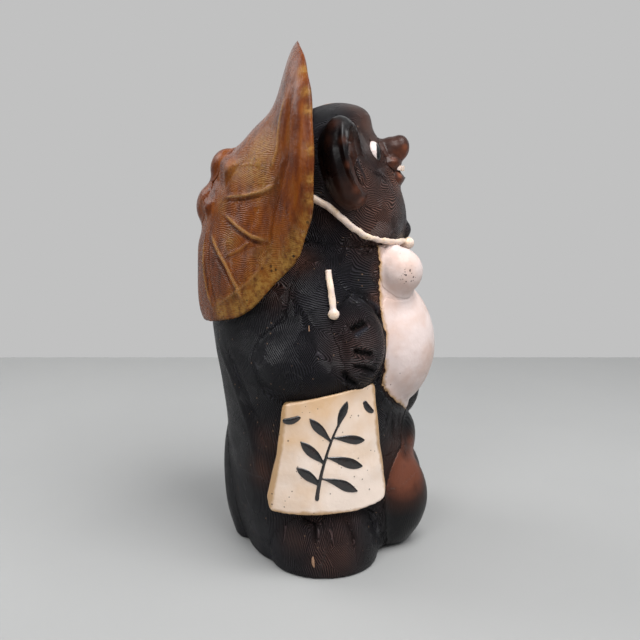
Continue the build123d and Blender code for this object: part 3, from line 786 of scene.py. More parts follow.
def iron_glaze(look):
    """Iron-black glaze over combed stoneware, dipped and fired: deep black where it lies thick in
    the comb lines, brown where it runs thin, with a wet gloss. The comb's crests are lighter,
    partly where the glaze runs thin over them and partly as a painted highlight; pressed creases
    are darker, partly pooled glaze and partly painted shade, and raised marks carry a painted
    blue-grey highlight. On the front a milky feldspar glaze is brushed over it, glossy and rose
    white, with a thin, tan and ragged edge."""
    material, add, place = begin("iron_glaze_on_combed_stoneware")
    ridges = combed(add, place, look.comb_pitch / MM)
    warm = add("Attribute", out="Fac", attribute_name="warmth")
    cloud = add("TexNoise", {"Vector": place, "Scale": 1 / (26 * MM), "Detail": 5.0})
    patchy = add("MapRange", cloud, 0.34, 0.66, 0.65, 1.2)
    thin = add("Clamp", add("Math", warm, patchy, operation="MULTIPLY"))
    # The comb's crests are lighter, partly thin glaze breaking over them and partly a painted
    # highlight
    black = add("Mix", {0: ridges, 6: look.iron_black, 7: look.iron_crest_break_and_highlight}, out=2, data_type="RGBA")
    brown = add("Mix", {0: ridges, 6: look.iron_brown, 7: look.iron_brown_crest_break_and_highlight}, out=2,
                data_type="RGBA")
    colour = add("Mix", {0: thin, 6: black, 7: brown}, out=2, data_type="RGBA")
    pressed_in = add("Attribute", out="Fac", attribute_name="pressed")
    # Pressed creases are darkened towards the pool colour: partly glaze pooled in them, partly
    # painted shade
    crease = add("MapRange", pressed_in, 0.4, 2.2, 0.0, 0.85)
    # Raised marks are lightened towards a blue-grey painted highlight
    rim = add("MapRange", pressed_in, -0.3, -1.6, 0.0, 0.8)
    colour = add("Mix", {0: crease, 6: colour, 7: look.iron_pool_and_shade}, out=2, data_type="RGBA")
    colour = add("Mix", {0: rim, 6: colour, 7: look.iron_painted_sheen}, out=2, data_type="RGBA")
    # Sparse pale specks in the colour of bare clay
    pale_specks = specks(add, place, 3.2, 0.8, 0.14)
    pale_specks = add("Math", pale_specks, 0.4, operation="MULTIPLY")
    colour = add("Mix", {0: pale_specks, 6: colour, 7: look.bare_clay}, out=2, data_type="RGBA")

    # The white glaze over it, from its ragged edge inwards
    ragged = add("TexNoise", {"Vector": place, "Scale": 1 / (5 * MM), "Detail": 5.0})
    ragged = add("Math", ragged, 5.0, -2.5, operation="MULTIPLY_ADD")
    edge = add("Math", add("Attribute", out="Fac", attribute_name="white"), ragged, operation="ADD")
    white = add("MapRange", edge, -0.2, 0.3, 0.0, 1.0)
    tan_share = add("MapRange", edge, 3.2, 0.5, 0.0, 0.9)
    rust = add("MapRange", edge, -2.6, -0.4, 0.0, 0.9)
    share = add("MapRange", cloud, 0.4, 0.62, 0.0, 1.0)
    milk = add("Mix", {0: share, 6: look.milk_white, 7: look.milk_rose}, out=2, data_type="RGBA")
    milk = add("Mix", {0: tan_share, 6: milk, 7: look.edge_tan}, out=2, data_type="RGBA")
    dots = specks(add, place, 5.0, 0.8, 0.2)
    dots = add("Math", dots, 0.7, operation="MULTIPLY")
    milk = add("Mix", {0: dots, 6: milk, 7: look.iron_brown}, out=2, data_type="RGBA")
    many = specks(add, place, 1.5, 0.9, 0.5)
    speckled = add("Attribute", out="Fac", attribute_name="speckled")
    many = add("Math", many, speckled, operation="MULTIPLY")
    milk = add("Mix", {0: many, 6: milk, 7: look.iron_black}, out=2, data_type="RGBA")
    colour = add("Mix", {0: rust, 6: colour, 7: look.iron_brown}, out=2, data_type="RGBA")
    colour = add("Mix", {0: white, 6: colour, 7: milk}, out=2, data_type="RGBA")

    # Gloss and relief, in which the white glaze fills the comb lines
    fine = add("TexNoise", {"Vector": place, "Scale": 1 / (2.2 * MM), "Detail": 4.0})
    matt = add("MapRange", cloud, 0.3, 0.7, 0.26, 0.44)
    rough = add("Mix", {0: white, 2: matt, 3: 0.2}, data_type="FLOAT")
    relief = add("Math", fine, 0.22, ridges, operation="MULTIPLY_ADD")
    pooled = add("Mix", {0: white, 2: relief, 3: 1.1}, data_type="FLOAT")
    waves = add("TexNoise", {"Vector": place, "Scale": 1 / (9 * MM), "Detail": 3.0})
    pooled = add("Math", waves, 0.5, pooled, operation="MULTIPLY_ADD")
    glaze(add, colour, rough, pooled, 1.5, gloss=0.17)
    return material


def wiped_glaze(look):
    """Iron glaze wiped thin over smoothed clay: purplish brown, black in the hollows, and warm
    orange-brown on what faces the floor, where the wash is thinnest."""
    material, add, place = begin("iron_glaze_wiped_thin")
    warm = add("Attribute", out="Fac", attribute_name="warmth")
    cloud = add("TexNoise", {"Vector": place, "Scale": 1 / (12 * MM), "Detail": 6.0})
    patchy = add("MapRange", cloud, 0.3, 0.62, 0.45, 1.15)
    thin = add("Clamp", add("Math", warm, patchy, operation="MULTIPLY"))
    facing = add("SeparateXYZ", add("NewGeometry", out="Normal"), out=2)
    under = add("MapRange", facing, 0.1, -0.7, 0.0, 1.0)
    thinnest = add("Math", warm, 1.6, -1.7, operation="MULTIPLY_ADD")
    orange = add("Clamp", add("Math", under, thinnest, operation="MAXIMUM"))
    brown = add("Mix", {0: orange, 6: look.iron_brown_wiped, 7: look.wash_orange}, out=2,
                data_type="RGBA")
    colour = add("Mix", {0: thin, 6: look.iron_black, 7: brown}, out=2, data_type="RGBA")
    fine = add("TexNoise", {"Vector": place, "Scale": 1 / (3.5 * MM), "Detail": 5.0})
    rough = add("MapRange", cloud, 0.3, 0.7, 0.22, 0.42)
    glaze(add, colour, rough, fine, 0.25, gloss=0.2)
    return material


def bag_glaze(look):
    """Iron glaze, rubbed while the clay was firm: smooth, black, with a rust-brown window where
    the glaze ran off the swelling."""
    material, add, place = begin("iron_glaze_rubbed_smooth")
    warm = add("Attribute", out="Fac", attribute_name="warmth")
    cloud = add("TexNoise", {"Vector": place, "Scale": 1 / (20 * MM), "Detail": 5.0})
    patchy = add("MapRange", cloud, 0.3, 0.6, 0.6, 1.1)
    thin = add("Clamp", add("Math", warm, patchy, operation="MULTIPLY"))
    window = add("MapRange", thin, 0.35, 0.75, 0.0, 1.0)
    halo = add("MapRange", thin, 0.08, 0.35, 0.0, 1.0)
    colour = add("Mix", {0: halo, 6: look.iron_black, 7: look.iron_brown}, out=2, data_type="RGBA")
    colour = add("Mix", {0: window, 6: colour, 7: look.bag_rust}, out=2, data_type="RGBA")
    ridges = combed(add, place, look.comb_pitch / MM * 1.3)
    fine = add("TexNoise", {"Vector": place, "Scale": 1 / (2.8 * MM), "Detail": 4.0})
    relief = add("Math", fine, 0.2, ridges, operation="MULTIPLY_ADD")
    rough = add("MapRange", cloud, 0.3, 0.7, 0.26, 0.48)
    glaze(add, colour, rough, relief, 0.6, gloss=0.25)
    return material


def paper_glaze(look):
    """The same white glaze on the note, thinner, so that the buff clay warms it towards the top
    and shows tan at the edges, with iron specks all over."""
    material, add, place = begin("thin_white_glaze_on_buff_clay")
    edge = add("Attribute", out="Fac", attribute_name="from_edge")
    ragged = add("TexNoise", {"Vector": place, "Scale": 1 / (5 * MM), "Detail": 5.0})
    worn = add("Math", ragged, -3.0, edge, operation="MULTIPLY_ADD")
    tan_share = add("MapRange", worn, 1.2, -0.9, 0.0, 0.85)
    cloud = add("TexNoise", {"Vector": place, "Scale": 1 / (24 * MM), "Detail": 4.0})
    high = add("SeparateXYZ", place).node.outputs
    warm = add("Math", high[1], 5.0, operation="MULTIPLY")
    warm = add("Math", high[2], 9.0, warm, operation="MULTIPLY_ADD")
    warm = add("Math", cloud, 1.6, warm, operation="MULTIPLY_ADD")
    warm = add("MapRange", warm, 1.35, 2.25, 0.0, 1.0)
    colour = add("Mix", {0: warm, 6: look.note_cream, 7: look.note_buff}, out=2, data_type="RGBA")
    colour = add("Mix", {0: tan_share, 6: colour, 7: look.edge_tan}, out=2, data_type="RGBA")
    dots = specks(add, place, 3.2, 0.8, 0.30)
    dots = add("Math", dots, 0.75, operation="MULTIPLY")
    colour = add("Mix", {0: dots, 6: colour, 7: look.iron_brown}, out=2, data_type="RGBA")
    fine = add("TexNoise", {"Vector": place, "Scale": 1 / (6 * MM), "Detail": 4.0})
    glaze(add, colour, 0.3, fine, 0.45, coat=0.15)
    return material


def amber_glaze(look):
    """Amber glaze, poured over the leaf and fired to a gloss: red-brown where it is thin, amber
    where it pools, and mottled ochre on veins and edges, with small dark pits."""
    material, add, place = begin("amber_glaze_poured")
    ridges = combed(add, place, look.comb_pitch / MM, patches=(34, 24), swing=0.5)
    pressed_in = add("Attribute", out="Fac", attribute_name="pressed")
    thick = add("Attribute", out="Fac", attribute_name="warmth")
    streak = add("Mapping", {"Vector": place, "Scale": (1.0, 1.6, 0.45)})
    cloud = add("TexNoise",
                {"Vector": streak, "Scale": 1 / (13 * MM), "Detail": 7.0, "Roughness": 0.62})
    colour = add("ValToRGB", cloud,
                 stops=((0.30, look.amber_dark), (0.46, look.amber_red), (0.60, look.amber),
                        (0.76, look.amber_pale)))
    crest = add("Math", ridges, 0.45, operation="MULTIPLY")
    colour = add("Mix", {0: crest, 6: colour, 7: look.amber_pale}, out=2, data_type="RGBA")
    mottle = add("TexNoise",
                 {"Vector": place, "Scale": 1 / (3.2 * MM), "Detail": 5.0, "Roughness": 0.6})
    patchy = add("MapRange", mottle, 0.38, 0.56, 0.25, 1.0)
    ochre = add("Math", thick, patchy, operation="MULTIPLY")
    colour = add("Mix", {0: ochre, 6: colour, 7: look.ochre}, out=2, data_type="RGBA")
    vein = add("MapRange", pressed_in, -0.35, -1.1, 0.0, 0.75)
    groove = add("MapRange", pressed_in, 0.3, 1.0, 0.0, 0.75)
    colour = add("Mix", {0: vein, 6: colour, 7: look.vein_pale}, out=2, data_type="RGBA")
    colour = add("Mix", {0: groove, 6: colour, 7: look.amber_dark}, out=2, data_type="RGBA")
    pits = specks(add, place, 3.4, 1.3, 0.25)
    dark = add("Math", thick, 0.8, 0.12, operation="MULTIPLY_ADD")
    pits = add("Math", pits, dark, operation="MULTIPLY")
    colour = add("Mix", {0: pits, 6: colour, 7: look.iron_black}, out=2, data_type="RGBA")
    rises = add("Math", mottle, 0.45, operation="MULTIPLY")
    relief = add("Math", ridges, 0.5, rises, operation="MULTIPLY_ADD")
    rough = add("MapRange", mottle, 0.3, 0.7, 0.16, 0.34)
    glaze(add, colour, rough, relief, 0.8, gloss=0.14)
    return material


def cord_glaze(look):
    """Cream slip glaze on the clay cords, with iron showing in pits and along their edges."""
    material, add, place = begin("cream_slip_glaze")
    cloud = add("TexNoise", {"Vector": place, "Scale": 1 / (6 * MM), "Detail": 4.0})
    colour = add("ValToRGB", cloud,
                 stops=((0.22, look.edge_tan), (0.36, look.cord_cream), (0.7, look.milk_white)))
    pits = specks(add, place, 3.4, 0.8, 0.10)
    colour = add("Mix", {0: pits, 6: colour, 7: look.iron_black}, out=2, data_type="RGBA")
    glaze(add, colour, 0.35, cloud, 0.5)
    return material


def bare_clay(look):
    """Unglazed stoneware inside the hollows and on the foot rim: dry, buff to red, a little
    grog showing."""
    material, add, place = begin("unglazed_stoneware")
    cloud = add("TexNoise", {"Vector": place, "Scale": 1 / (30 * MM), "Detail": 5.0})
    colour = add("Mix", {0: cloud, 6: look.bare_clay, 7: look.bare_clay_dark}, out=2,
                 data_type="RGBA")
    grog = add("TexNoise", {"Vector": place, "Scale": 1 / (1.6 * MM), "Detail": 3.0})
    glaze(add, colour, 0.88, grog, 0.35)
    return material


def brush_black(look):
    """Iron-black overglaze, laid on thick with a brush: glossy, with tiny burst bubbles."""
    material, add, place = begin("iron_black_brushwork")
    cloud = add("TexNoise", {"Vector": place, "Scale": 1 / (8 * MM), "Detail": 4.0})
    share = add("MapRange", cloud, 0.45, 0.75, 0.0, 0.6)
    colour = add("Mix", {0: share, 6: look.iron_black, 7: look.iron_brown}, out=2, data_type="RGBA")
    fine = add("TexNoise", {"Vector": place, "Scale": 1 / (1.5 * MM), "Detail": 3.0})
    glaze(add, colour, 0.14, fine, 0.3, coat=0.8)
    return material


def eye_glaze(look):
    """White eye with an iron-black pupil painted on the side that faces forward."""
    material, add, place = begin("painted_eye")
    pupil = add("Attribute", out="Fac", attribute_name="pupil")
    fine = add("TexNoise", {"Vector": place, "Scale": 1 / (3 * MM), "Detail": 3.0})
    edge = add("Math", fine, 0.2, pupil, operation="MULTIPLY_ADD")
    share = add("MapRange", edge, 0.55, 0.65, 0.0, 1.0)
    colour = add("Mix", {0: share, 6: look.milk_white, 7: look.iron_black}, out=2, data_type="RGBA")
    glaze(add, colour, 0.18, fine, 0.1, coat=0.4)
    return material


class TanukiLook(bpy.types.PropertyGroup):
    """Sizes and glaze colours of the figure."""

    comb_pitch: bpy.props.FloatProperty(
        name="Comb pitch", description="Distance from one comb line to the next",
        default=1.55 * MM, unit="LENGTH")
    fur_grain: bpy.props.FloatProperty(
        name="Fur grain", description="Width of the faces on the combed clay",
        default=1.5 * MM, unit="LENGTH")
    body_grain: bpy.props.FloatProperty(
        name="Body grain", description="Width of the faces on the hollow body",
        default=1.95 * MM, unit="LENGTH")
    fine_grain: bpy.props.FloatProperty(
        name="Fine grain", description="Width of the faces on the face and the cords",
        default=0.8 * MM, unit="LENGTH")
    iron_black: bpy.props.StringProperty(
        name="Iron black", description="Thick iron glaze", default="#09090b")
    # Crest colour: thin glaze on the comb's crests, and a painted highlight
    iron_crest_break_and_highlight: bpy.props.StringProperty(
        name="Iron crest", description="Iron glaze on the comb's crests", default="#2a292f")
    # Pool colour: glaze pooled in creases, and painted shade in them
    iron_pool_and_shade: bpy.props.StringProperty(
        name="Iron pool", description="Iron glaze run together in a crease", default="#030303")
    # Sheen colour: a painted blue-grey highlight on raised marks
    iron_painted_sheen: bpy.props.StringProperty(
        name="Iron sheen", description="Iron glaze with a blue bloom on a rim", default="#3b3d46")
    iron_brown: bpy.props.StringProperty(
        name="Iron brown", description="Iron glaze where it is thin", default="#2b160f")
    # Brown crest colour: thin brown glaze on the comb's crests, and a painted highlight
    iron_brown_crest_break_and_highlight: bpy.props.StringProperty(
        name="Iron brown crest", description="Thin iron glaze on the comb's crests",
        default="#7c574a")
    iron_brown_wiped: bpy.props.StringProperty(
        name="Iron brown wiped", description="Iron glaze wiped off smooth clay", default="#3f241b")
    wash_orange: bpy.props.StringProperty(
        name="Wash orange", description="Thinnest iron wash", default="#7a4630")
    bag_rust: bpy.props.StringProperty(
        name="Bag rust", description="Bare window on the bag", default="#613626")
    milk_white: bpy.props.StringProperty(
        name="Milk white", description="Feldspar glaze", default="#d9c8c3")
    milk_rose: bpy.props.StringProperty(
        name="Milk rose", description="Feldspar glaze where it is thinner", default="#cfb5aa")
    edge_tan: bpy.props.StringProperty(
        name="Edge tan", description="White glaze at its thin edge", default="#a98355")
    note_cream: bpy.props.StringProperty(
        name="Note cream", description="The note's glaze", default="#e4d2c4")
    note_buff: bpy.props.StringProperty(
        name="Note buff", description="The note's glaze where the clay shows", default="#d2ae88")
    cord_cream: bpy.props.StringProperty(
        name="Cord cream", description="Slip glaze of the cords", default="#ead0b6")
    amber: bpy.props.StringProperty(
        name="Amber", description="Amber glaze", default="#763c10")
    amber_red: bpy.props.StringProperty(
        name="Amber red", description="Amber glaze where it is thin", default="#5e2c13")
    amber_dark: bpy.props.StringProperty(
        name="Amber dark", description="Amber glaze in hollows", default="#3d1c10")
    amber_pale: bpy.props.StringProperty(
        name="Amber pale", description="Amber glaze where it pools", default="#7c4a1b")
    ochre: bpy.props.StringProperty(
        name="Ochre", description="Mottled edge of the amber glaze", default="#997034")
    vein_pale: bpy.props.StringProperty(
        name="Vein pale", description="Amber glaze over a raised vein", default="#a0713c")
    bare_clay: bpy.props.StringProperty(
        name="Bare clay", description="Unglazed stoneware", default="#b08c70")
    bare_clay_dark: bpy.props.StringProperty(
        name="Bare clay dark", description="Unglazed stoneware, flashed", default="#7d5a45")
    floor_grey: bpy.props.StringProperty(
        name="Floor grey", description="Studio floor", default="#9b9b9a")
    wall_grey: bpy.props.StringProperty(
        name="Wall grey", description="Studio wall", default="#c1c1c1")


# The materials that are made so far, by their names in the list of glazes
materials = {}


def look_of():
    """The figure's sizes and colours."""
    return bpy.context.scene.tanuki_look


def glaze_of(name):
    """The material of a glaze, made when it is first asked for."""
    if name not in materials:
        materials[name] = GLAZES[name](look_of())
    return materials[name]


GLAZES = {
    "fur": iron_glaze, "wiped": wiped_glaze, "bag": bag_glaze, "paper": paper_glaze,
    "amber": amber_glaze, "cord": cord_glaze, "clay": bare_clay, "brush": brush_black,
    "eye": eye_glaze,
}


def fur_piece(node, name, grain, finish="fur", strength=1.0):
    """Makes one luted piece with combed fur, or a wiped or a white surface."""
    figure = surfaces["figure"]
    piece = kneaded(node, name, grain, LAP)
    settle(piece, node, figure, FUR_MARKS)
    comb_surface(piece, figure.tree, COMB_STROKES, WARM_PLACES, strength)
    places = points_of(piece)
    white = np.full(len(places), FAR_OUTSIDE)
    if node in WHITE_GLAZED:
        white = inside_outline(places, WHITE_EDGE)
    attribute(piece, "white", "FLOAT", white)
    nipple, _ = on_photo(figure.tree, *NIPPLE)
    places[:, 0] = -np.abs(places[:, 0])
    gap = np.linalg.norm(places - nipple, axis=1)
    attribute(piece, "speckled", "FLOAT", smooth_step(*SPECKLED, gap))
    return dress(piece, node, finish)


class TANUKI_OT_seams(bpy.types.Operator):
    """Fill the seams between the pieces of clay with slip"""

    bl_idname = "tanuki.seams"
    bl_label = "Fill the seams"

    def execute(self, context):
        surfaces["figure"] = LutedSurface(LUTED, SEAM_GRAIN, FIGURE_FILLS, BROAD, BROAD_CREASE,
                                          SNOUT_LUMPS)
        surfaces["hat"] = LutedSurface(LEAF, LEAF_SEAM_GRAIN, LEAF_FILLS, LEAF, LEAF_CREASE)
        return {"FINISHED"}


class TANUKI_OT_slip(bpy.types.Operator):
    """Make the slip that shows in the seams between the pieces"""

    bl_idname = "tanuki.slip"
    bl_label = "Slip in the seams"

    def execute(self, context):
        figure = surfaces["figure"]
        slip = figure.whole
        slip.name = slip.data.name = "slip_in_seams"
        finish_with(slip, "DECIMATE", ratio=0.6)
        sunk = points_of(slip) - normals_of(slip) * SUNK
        sunk[:, 2] = np.maximum(sunk[:, 2], 0.4 * MM)
        put_points(slip, sunk)
        work_by_hand(slip, figure, FUR_MARKS, 0.35)
        comb_surface(slip, figure.tree, COMB_STROKES, WARM_PLACES, 0.6)
        places = points_of(slip)
        attribute(slip, "white", "FLOAT", inside_outline(places, WHITE_EDGE))
        attribute(slip, "speckled", "FLOAT", np.zeros(len(places)))
        glazed(slip, "fur")
        bpy.data.objects.remove(surfaces["hat"].whole)
        return {"FINISHED"}


class TANUKI_OT_chips(bpy.types.Operator):
    """Make the two spots where pale clay shows through a chip in the glaze"""

    bl_idname = "tanuki.chips"
    bl_label = "Chips"

    def execute(self, context):
        brushwork("glaze_chips", surfaces["figure"].tree, CHIP_DABS, 0.4, "clay")
        return {"FINISHED"}


class TANUKI_OT_body(bpy.types.Operator):
    """Make the hollow body and the swellings of fur on it"""

    bl_idname = "tanuki.body"
    bl_label = "Body, legs and tail"

    def execute(self, context):
        look = look_of()
        for node, name, grain in (
            ("body_shell", "fur_body", look.body_grain),
            ("head_shell", "fur_head", look.fur_grain),
            ("tail", "fur_tail", look.fur_grain),
            ("right_thigh", "fur_thigh_right", look.fur_grain),
            ("left_thigh", "fur_thigh_left", look.fur_grain),
            ("chin_tuft", "fur_chin_tuft", look.fine_grain),
        ):
            piece = fur_piece(node, name, grain)
            if node in HOLLOW:
                bare_inside(piece)
        return {"FINISHED"}


def bare_inside(piece):
    """Gives the faces in the hollow and under the foot rim the bare clay."""
    piece.data.materials.append(glaze_of("clay"))
    for face in piece.data.polygons:
        outward = Vector((face.center.x, face.center.y, 0))
        inner = face.normal @ outward < 0 or face.normal.z < -0.9
        if inner and inside_hollow(face.center):
            face.material_index = 1


def inside_hollow(place):
    """Whether a place is on the wall of the hollow, or under the foot rim."""
    if place.z < 0.6 * MM:
        return True
    start, outward = place + Vector((0, 0, 0.1 * MM)), Vector((place.x, place.y, 0))
    return surfaces["figure"].tree.ray_cast(start, outward)[0] is not None


class TANUKI_OT_arms(bpy.types.Operator):
    """Make both arms and fists"""

    bl_idname = "tanuki.arms"
    bl_label = "Arms and hands"

    def execute(self, context):
        for side in ("right", "left"):
            fur_piece(f"{side}_arm", f"fur_arm_{side}", look_of().fur_grain)
            fur_piece(f"{side}_hand", f"fur_hand_{side}", look_of().fur_grain)
        return {"FINISHED"}


class TANUKI_OT_bag(bpy.types.Operator):
    """Make the bag of two lobes"""

    bl_idname = "tanuki.bag"
    bl_label = "Bag"

    def execute(self, context):
        fur_piece("money_bag", "rubbed_bag", look_of().fur_grain, "bag", 0.8)
        return {"FINISHED"}


class TANUKI_OT_front(bpy.types.Operator):
    """Make the white belly and breasts"""

    bl_idname = "tanuki.front"
    bl_label = "Belly and breasts"

    def execute(self, context):
        for node, name in (
            ("belly", "white_belly"), ("right_breast", "white_breast_right"),
            ("left_breast", "white_breast_left"),
        ):
            fur_piece(node, name, look_of().fur_grain, "fur", 0.6)
        return {"FINISHED"}


class TANUKI_OT_face(bpy.types.Operator):
    """Make the ears, snout, lips, teeth and eyes"""

    bl_idname = "tanuki.face"
    bl_label = "Ears and face"

    def execute(self, context):
        look = look_of()
        for node, name in (
            ("right_ear", "ear_right"), ("left_ear", "ear_left"), ("snout", "snout_turned_up"),
            ("upper_lip", "lip_upper"), ("lower_lip", "lip_lower"),
        ):
            fur_piece(node, name, look.fine_grain, "wiped", 0.0)
        for side in ("right", "left"):
            node = f"{side}_eye"
            piece = kneaded(node, f"eye_{side}", look.fine_grain / 2)
            attribute(piece, "pupil", "FLOAT", -normals_of(piece)[:, 1])
            dress(piece, node, "eye")
        piece = copied("teeth", "tooth_row")
        places = points_of(piece)
        gum = places[:, 2].max()
        places[:, 2] = gum - (gum - places[:, 2]) * TEETH_SHOW
        put_points(piece, places)
        finish_with(piece, "BEVEL", width=0.5 * MM, segments=2)
        dress(piece, "teeth", "cord")
        return {"FINISHED"}


class TANUKI_OT_hat(bpy.types.Operator):
    """Make the leaf hat with its veins, and its stalk"""

    bl_idname = "tanuki.hat"
    bl_label = "Leaf hat"

    def execute(self, context):
        hat = surfaces["hat"]
        for node, name, grain, lap in (
            ("hat_leaf", "leaf_hat", LEAF_GRAIN, 0),
            ("hat_stalk", "leaf_stalk", TRIM_GRAIN, STALK_LAP),
        ):
            piece = kneaded(node, name, grain, lap)
            settle(piece, node, hat, LEAF_MARKS, 0.5)
            comb_surface(piece, hat.tree, HAT_STROKES, OCHRE_PLACES, 0.8)
            dress(piece, node, "amber")
        return {"FINISHED"}


class TANUKI_OT_note(bpy.types.Operator):
    """Make the account note"""

    bl_idname = "tanuki.note"
    bl_label = "Account note"

    def execute(self, context):
        piece = kneaded("account_note", "note_slab", TRIM_GRAIN)
        places, normals = points_of(piece), normals_of(piece)
        put_points(piece, places - normals * (hand_waves(places, 30 * MM, 5) * 0.4 * MM)[:, None])
        flat = -normals[:, 0] / np.linalg.norm(normals[:, :2] + 1e-9, axis=1)
        edge = inside_outline(places, NOTE_EDGE)
        attribute(piece, "from_edge", "FLOAT", np.where(flat > 0.2, edge, -1))
        dress(piece, "account_note", "paper")
        tree = tree_of(piece)
        brushwork("brush_sprig", tree, SPRIG_DABS, 0.9, "brush")
        brushwork("brush_corners", tree, CORNER_DABS, 0.9, "brush")
        return {"FINISHED"}


def brushwork(name, tree, strokes, thick, finish):
    """Lays strokes of glaze on a surface, each a row of flat drops, one for every 0.8 pixels."""
    clear_selection()
    bpy.ops.mesh.primitive_uv_sphere_add(segments=12, ring_count=6, radius=1)
    drop = bpy.context.active_object
    unit = points_of(drop)
    corners = [tuple(face.vertices) for face in drop.data.polygons]
    bpy.data.objects.remove(drop)
    rows, faces = [], []
    for stroke in strokes:
        knots = np.linspace(0, 1, len(stroke))
        bend = np.polyfit(knots, np.array(stroke), len(stroke) - 1)
        steps = int(np.hypot(stroke[-1][0] - stroke[0][0], stroke[-1][1] - stroke[0][1]) / 0.8)
        for share in np.linspace(0, 1, steps + 2):
            u, v, wide = np.polyval(bend, share)
            place, normal = on_photo(tree, u, v)
            size = max(wide * MM, BRUSH_GRAIN)
            turn = np.array(normal.to_track_quat("Z", "Y").to_matrix())
            faces += [tuple(c + len(rows) * len(unit) for c in face) for face in corners]
            rows.append((unit * (size, size, thick * MM)) @ turn.T + np.array(place))
    mesh = bpy.data.meshes.new(name)
    mesh.from_pydata(np.concatenate(rows).tolist(), [], faces)
    piece = bpy.data.objects.new(name, mesh)
    bpy.context.scene.collection.objects.link(piece)
    finish_with(piece, "REMESH", mode="VOXEL", voxel_size=BRUSH_GRAIN)
    finish_with(piece, "SMOOTH", factor=0.5, iterations=4)
    glazed(piece, finish)


class TANUKI_OT_flask(bpy.types.Operator):
    """Make the sake flask"""

    bl_idname = "tanuki.flask"
    bl_label = "Flask"

    def execute(self, context):
        piece = kneaded("sake_flask", "flask_body", look_of().fur_grain)
        places, normals = points_of(piece), normals_of(piece)
        attribute(piece, "comb_across", "FLOAT_VECTOR", normals * 0 + (0, 0, 1))
        attribute(piece, "comb_depth", "FLOAT", np.full(len(places), 0.15))
        attribute(piece, "pressed", "FLOAT", np.zeros(len(places)))
        attribute(piece, "warmth", "FLOAT", smooth_step(115 * MM, 135 * MM, places[:, 2]))
        dress(piece, "sake_flask", "amber")
        return {"FINISHED"}


class TANUKI_OT_cords(bpy.types.Operator):
    """Make the clay cords and their knot"""

    bl_idname = "tanuki.cords"
    bl_label = "Cords and knot"

    def execute(self, context):
        for node, name in (
            ("hat_cord_right", "cord_right"), ("hat_cord_left", "cord_left"),
            ("cord_knot", "cord_knot_tied"), ("shoulder_cord_stub", "cord_stub_broken"),
        ):
            piece = kneaded(node, name, look_of().fine_grain)
            places, normals = points_of(piece), normals_of(piece)
            rough = hand_waves(places, 7 * MM, 3) * 0.35 * MM
            put_points(piece, places + normals * rough[:, None])
            dress(piece, node, "cord")
        return {"FINISHED"}


class TANUKI_OT_stage(bpy.types.Operator):
    """Make the floor, the wall, the light and the camera"""

    bl_idname = "tanuki.stage"
    bl_label = "Stage"

    def execute(self, context):
        look = look_of()
        clear_selection()
        half = STUDIO_SIZE / 2
        bpy.ops.mesh.primitive_plane_add(size=STUDIO_SIZE, location=(WALL_AHEAD - half, 0, 0))
        floor = context.active_object
        floor.name = "studio_floor"
        floor.data.materials.append(floor_paint(look))
        clear_selection()
        bpy.ops.mesh.primitive_plane_add(size=STUDIO_SIZE, location=(WALL_AHEAD, 0, half),
                                         rotation=(0, -pi / 2, 0))
        wall = context.active_object
        wall.name = "studio_wall"
        wall.data.materials.append(wall_paint(look))
        for name, place, size, power in LAMPS:
            light = bpy.data.lights.new(name, "AREA")
            light.size = size
            light.energy = power
            lamp = bpy.data.objects.new(name, light)
            context.scene.collection.objects.link(lamp)
            lamp.location = place
            way = Vector((0, 0, 0.2)) - lamp.location
            lamp.rotation_euler = way.to_track_quat("-Z", "Y").to_euler()
        world = bpy.data.worlds.new("soft_studio")
        world.use_nodes = True
        world.node_tree.nodes.clear()
        add = partial(put, world.node_tree)
        way = add("TexCoord", out="Generated")
        height = add("SeparateXYZ", way, out=2)
        sky = add("MapRange", height, -0.1, 0.9, 0.16, 0.95)
        shade = add("Background", {"Color": "#eef1f5", "Strength": sky})
        seen = add("Background", {"Color": look.wall_grey, "Strength": 1.0})
        ray = add("LightPath", out="Is Camera Ray")
        both = add("MixShader", ray, shade, seen)
        add("OutputWorld", {"Surface": both})
        context.scene.world = world
        lens = bpy.data.cameras.new("photo_camera")
        lens.sensor_width = 36.0
        lens.lens = FOCAL_PIXELS / PHOTO_PIXELS * lens.sensor_width
        camera = bpy.data.objects.new("photo_camera", lens)
        context.scene.collection.objects.link(camera)
        camera.location = EYE
        ahead = Vector((cos(LOOK_DOWN), 0, -sin(LOOK_DOWN)))
        camera.rotation_euler = ahead.to_track_quat("-Z", "Y").to_euler()
        context.scene.camera = camera
        context.scene.view_settings.view_transform = "Standard"
        return {"FINISHED"}


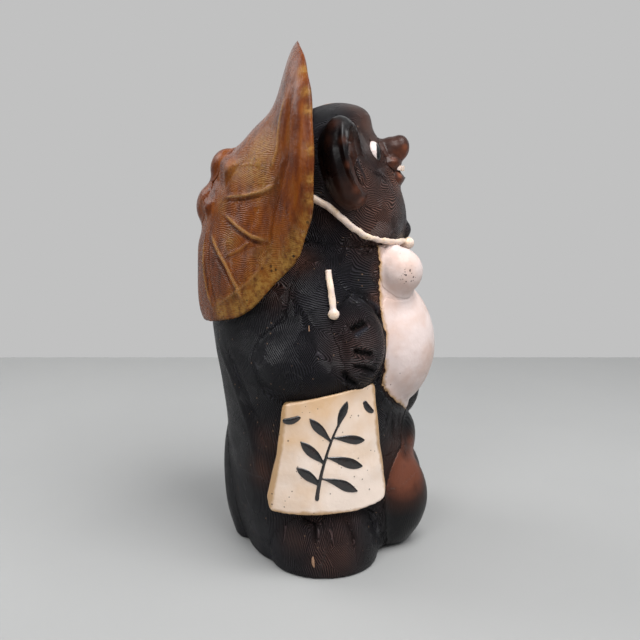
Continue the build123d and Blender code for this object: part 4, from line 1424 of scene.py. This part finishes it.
def floor_paint(look):
    """Matt studio floor with a faint unevenness."""
    material, add, place = begin("matt_studio_floor")
    cloud = add("TexNoise", {"Vector": place, "Scale": 9.0, "Detail": 6.0})
    share = add("MapRange", cloud, 0.3, 0.7, 0.0, 0.12)
    colour = add("Mix", {0: share, 6: look.floor_grey, 7: "#8f908f"}, out=2, data_type="RGBA")
    shader = add("BsdfPrincipled", {"Base Color": colour, "Roughness": 0.9})
    add("OutputMaterial", {"Surface": shader})
    return material


def wall_paint(look):
    """Matt studio wall, seen from its front only, so that it hides nothing from behind."""
    material, add, _ = begin("matt_studio_wall")
    back = add("NewGeometry", out="Backfacing")
    paint = add("Emission", {"Color": look.wall_grey, "Strength": 1.0})
    matt = add("BsdfDiffuse", {"Color": look.wall_grey})
    ray = add("LightPath", out="Is Camera Ray")
    front = add("MixShader", ray, matt, paint)
    clear = add("BsdfTransparent")
    both = add("MixShader", back, front, clear)
    add("OutputMaterial", {"Surface": both})
    return material


class TANUKI_PT_pieces(bpy.types.Panel):
    """Lists the pieces of the figure"""

    bl_label = "Tanuki statue"
    bl_idname = "TANUKI_PT_pieces"
    bl_space_type = "VIEW_3D"
    bl_region_type = "UI"
    bl_category = "Tanuki"

    def draw(self, context):
        for operator in OPERATORS:
            self.layout.operator(operator.bl_idname)
        for name in TanukiLook.__annotations__:
            self.layout.prop(context.scene.tanuki_look, name)


OPERATORS = (
    TANUKI_OT_seams, TANUKI_OT_body, TANUKI_OT_arms, TANUKI_OT_bag, TANUKI_OT_front,
    TANUKI_OT_face, TANUKI_OT_hat, TANUKI_OT_note, TANUKI_OT_flask, TANUKI_OT_cords,
    TANUKI_OT_chips, TANUKI_OT_slip, TANUKI_OT_stage,
)


def register():
    for kind in (TanukiLook, *OPERATORS, TANUKI_PT_pieces):
        bpy.utils.register_class(kind)
    bpy.types.Scene.tanuki_look = bpy.props.PointerProperty(type=TanukiLook)


def unregister():
    del bpy.types.Scene.tanuki_look
    for kind in reversed((TanukiLook, *OPERATORS, TANUKI_PT_pieces)):
        bpy.utils.unregister_class(kind)


def main():
    """Makes the figure and its stage."""
    register()
    for operator in OPERATORS:
        group, name = operator.bl_idname.split(".")
        getattr(getattr(bpy.ops, group), name)()


if __name__ == "__main__":
    main()
